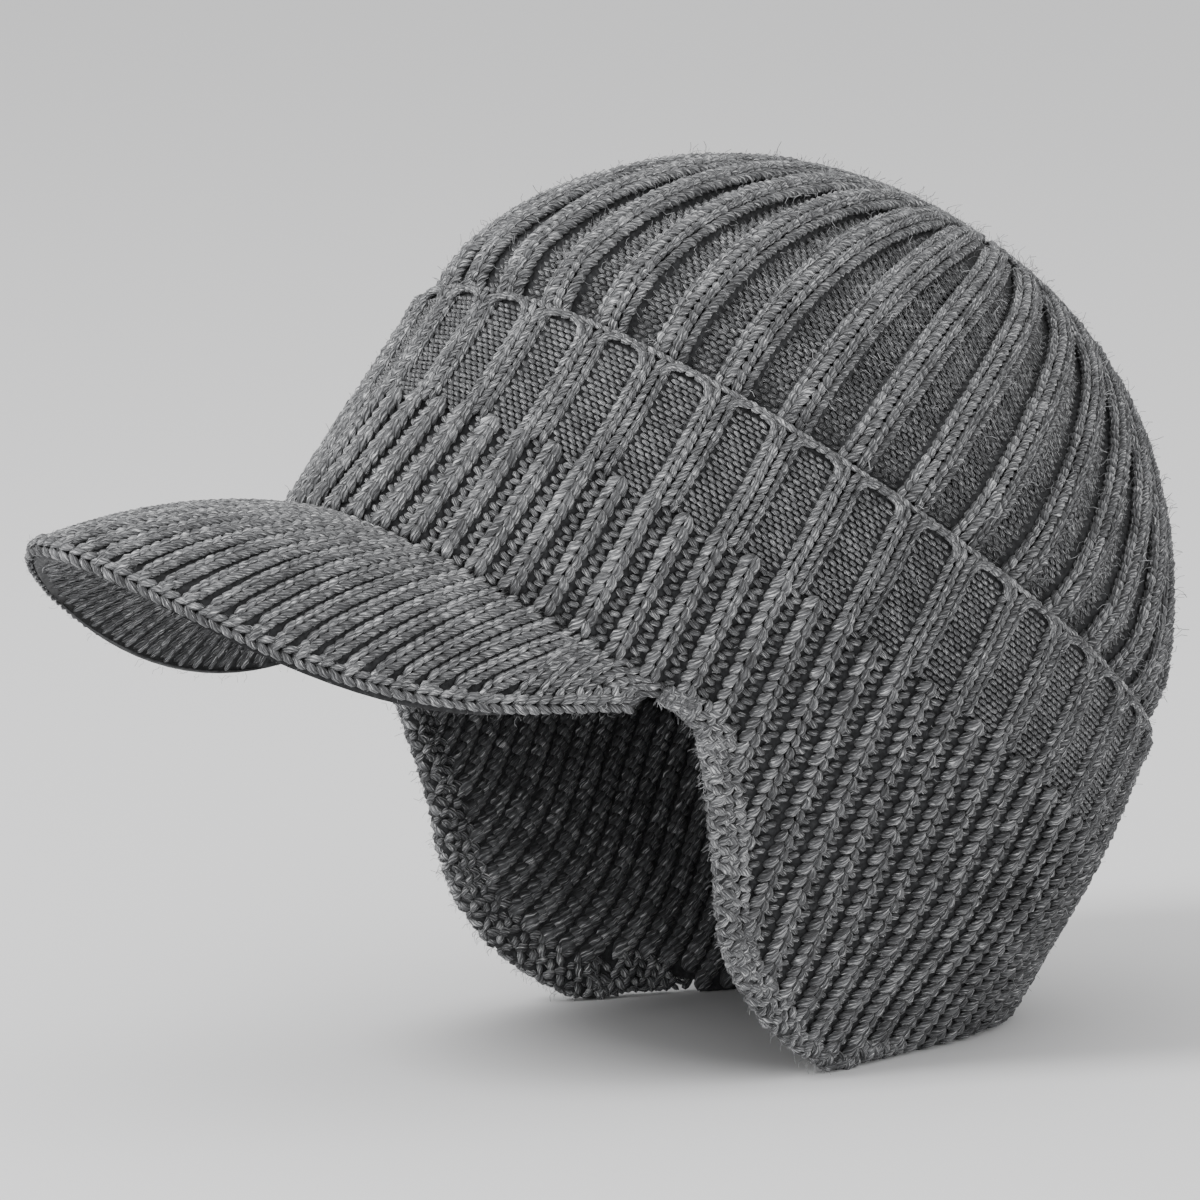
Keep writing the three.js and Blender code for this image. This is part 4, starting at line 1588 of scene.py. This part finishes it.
def wall_fibres(stitches, count):
    repeat = dice.uniform(0, RIB_COUNT, count)
    known = np.linspace(0, RIB_COUNT, WALL_ENDS)
    ends = [rib_end(wall_lines, at, 0.0, rib_line) for at in known]
    depth = dice.random(count) * (np.interp(repeat, known, ends) - FIBRE_HEM_GAP)
    place, across, _, outward = surface_frame(wall_rib, repeat, -depth, 0.6 * MM)
    add_fibres(stitches, place, outward, across, (0.35, 0.85), (0.8, 0.8))


def edge_fibres(stitches, count):
    for side in (-1, 1):
        at = dice.random(count) * 0.75
        angle, depth, run, outward = flap_edge(at, 0.6 * MM * edging_swell(at))
        off_edge = unit(-np.cross(outward, run) + outward * dice.uniform(-0.6, 0.9, (count, 1)))
        place = wall_point(angle, depth, FABRIC * 0.3)
        mirror = np.array([side, 1, 1])
        add_fibres(stitches, place, off_edge, run, (0.4, 1.0), (0.5, 0.5), mirror)


def peak_fibres(stitches, count):
    rim = peak_section(dice.uniform(-0.97, 0.97, count))
    place = rim[np.arange(count), TOP_STEPS + dice.integers(0, RIM_STEPS, count)]
    outward = unit(place - rim_core(rim))
    add_fibres(stitches, place - outward * 0.5 * MM, outward, outward, (0.3, 0.75), (0.8, 2.0))


fibre_pieces = []
for name, slot, scatter, count, seed in (
    ("crown_fibres", "crown_knit", crown_fibres, 4600, 61),
    ("wall_fibres", "cuff_knit", wall_fibres, 700, 62),
    ("edge_fibres", "edging_knit", edge_fibres, 300, 63),
    ("peak_fibres", "peak_knit", peak_fibres, 420, 64),
):
    fibre_pieces.append((name, slot, Stitches(), seed))
    scatter(fibre_pieces[-1][2], count)
for name, slot, stitches, seed in fibre_pieces:
    knit(name, stitches, fibres, 1.3 * MM, 0.11 * MM, 3.0 * MM, bend=0.8, sides=3,
         shake=0.3, seed=seed, tree=fibre_tree)

# %% [markdown]
# ## Floor, light and camera
# The cap stands on a plain pale floor that fills the picture. Soft light comes from the whole
# sky, from a key lamp at the upper left and from a wide lamp overhead, and a weak one at the
# lower right lightens the shaded flap. So the shadow under the cap has no hard edge.

# %% Floor
FLOOR_HALF = 20.0
floor_corners = [(x * FLOOR_HALF, y * FLOOR_HALF, 0) for x, y in ((-1, -1), (1, -1), (1, 1), (-1, 1))]
floor_mesh = bpy.data.meshes.new("floor")
floor_mesh.from_pydata(floor_corners, [], [(0, 1, 2, 3)])
floor = bpy.data.objects.new("floor", floor_mesh)
scene_objects.link(floor)
floor_material, floor_start = new_surface("pale_floor")
floor_shader = floor_start.node("ShaderNodeBsdfPrincipled", {}, {
    "Base Color": (0.74, 0.74, 0.745, 1), "Roughness": 0.9, "Specular IOR Level": 0.1,
})
floor_start.node("ShaderNodeOutputMaterial", {}, {"Surface": floor_shader})
floor_mesh.materials.append(floor_material)
floor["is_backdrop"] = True

# %% Light
world = bpy.data.worlds.new("soft_sky")
bpy.context.scene.world = world
world.use_nodes = True
world.node_tree.nodes["Background"].inputs["Color"].default_value = (1, 1, 1, 1)
world.node_tree.nodes["Background"].inputs["Strength"].default_value = 1.1
CAMERA_AZIMUTH = math.radians(55.851)
CAMERA_ELEVATION = math.radians(8.0)
TARGET = np.array([0.0, 0.8865, 105.996]) * MM


def aim(thing, azimuth, elevation, distance):
    """Sets a lamp or camera at a distance from the target, facing it."""
    level = math.cos(elevation)
    back = np.array([math.sin(azimuth) * level, -math.cos(azimuth) * level, math.sin(elevation)])
    scene_objects.link(thing)
    thing.location = Vector(TARGET + back * distance)
    thing.rotation_mode = "QUATERNION"
    thing.rotation_quaternion = Vector(-back).to_track_quat("-Z", "Y")


def add_lamp(name, azimuth, elevation, distance, size, power):
    """A square lamp that faces the cap, placed by its angles from the camera's own azimuth."""
    data = bpy.data.lights.new(name, "AREA")
    data.size = size
    data.energy = power
    turn = CAMERA_AZIMUTH + math.radians(azimuth)
    aim(bpy.data.objects.new(name, data), turn, math.radians(elevation), distance)


add_lamp("key_lamp", -58, 44, 2.6, 0.7, 66)
add_lamp("top_lamp", 10, 80, 3.0, 2.4, 12)
add_lamp("fill_lamp", 28, 8, 2.6, 2.0, 18)

# %% Camera
CAMERA_DISTANCE = 1708.876 * MM
PIXELS_PER_METRE = 4303.27
PICTURE_SIDE = 1200
camera_data = bpy.data.cameras.new("camera")
camera_data.sensor_width = 36
camera_data.lens = 36 * PIXELS_PER_METRE * CAMERA_DISTANCE / PICTURE_SIDE
camera_data.clip_start = 0.05
camera_data.clip_end = 60
camera = bpy.data.objects.new("camera", camera_data)
aim(camera, CAMERA_AZIMUTH, CAMERA_ELEVATION, CAMERA_DISTANCE)
bpy.context.scene.camera = camera
print("lens", round(camera_data.lens, 1), "mm")

# %% Sizes of the finished cap
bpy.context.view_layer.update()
shown = [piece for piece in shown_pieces() if piece.type == "MESH"]
print("triangles in all", sum(len(piece.data.loop_triangles) for piece in shown))
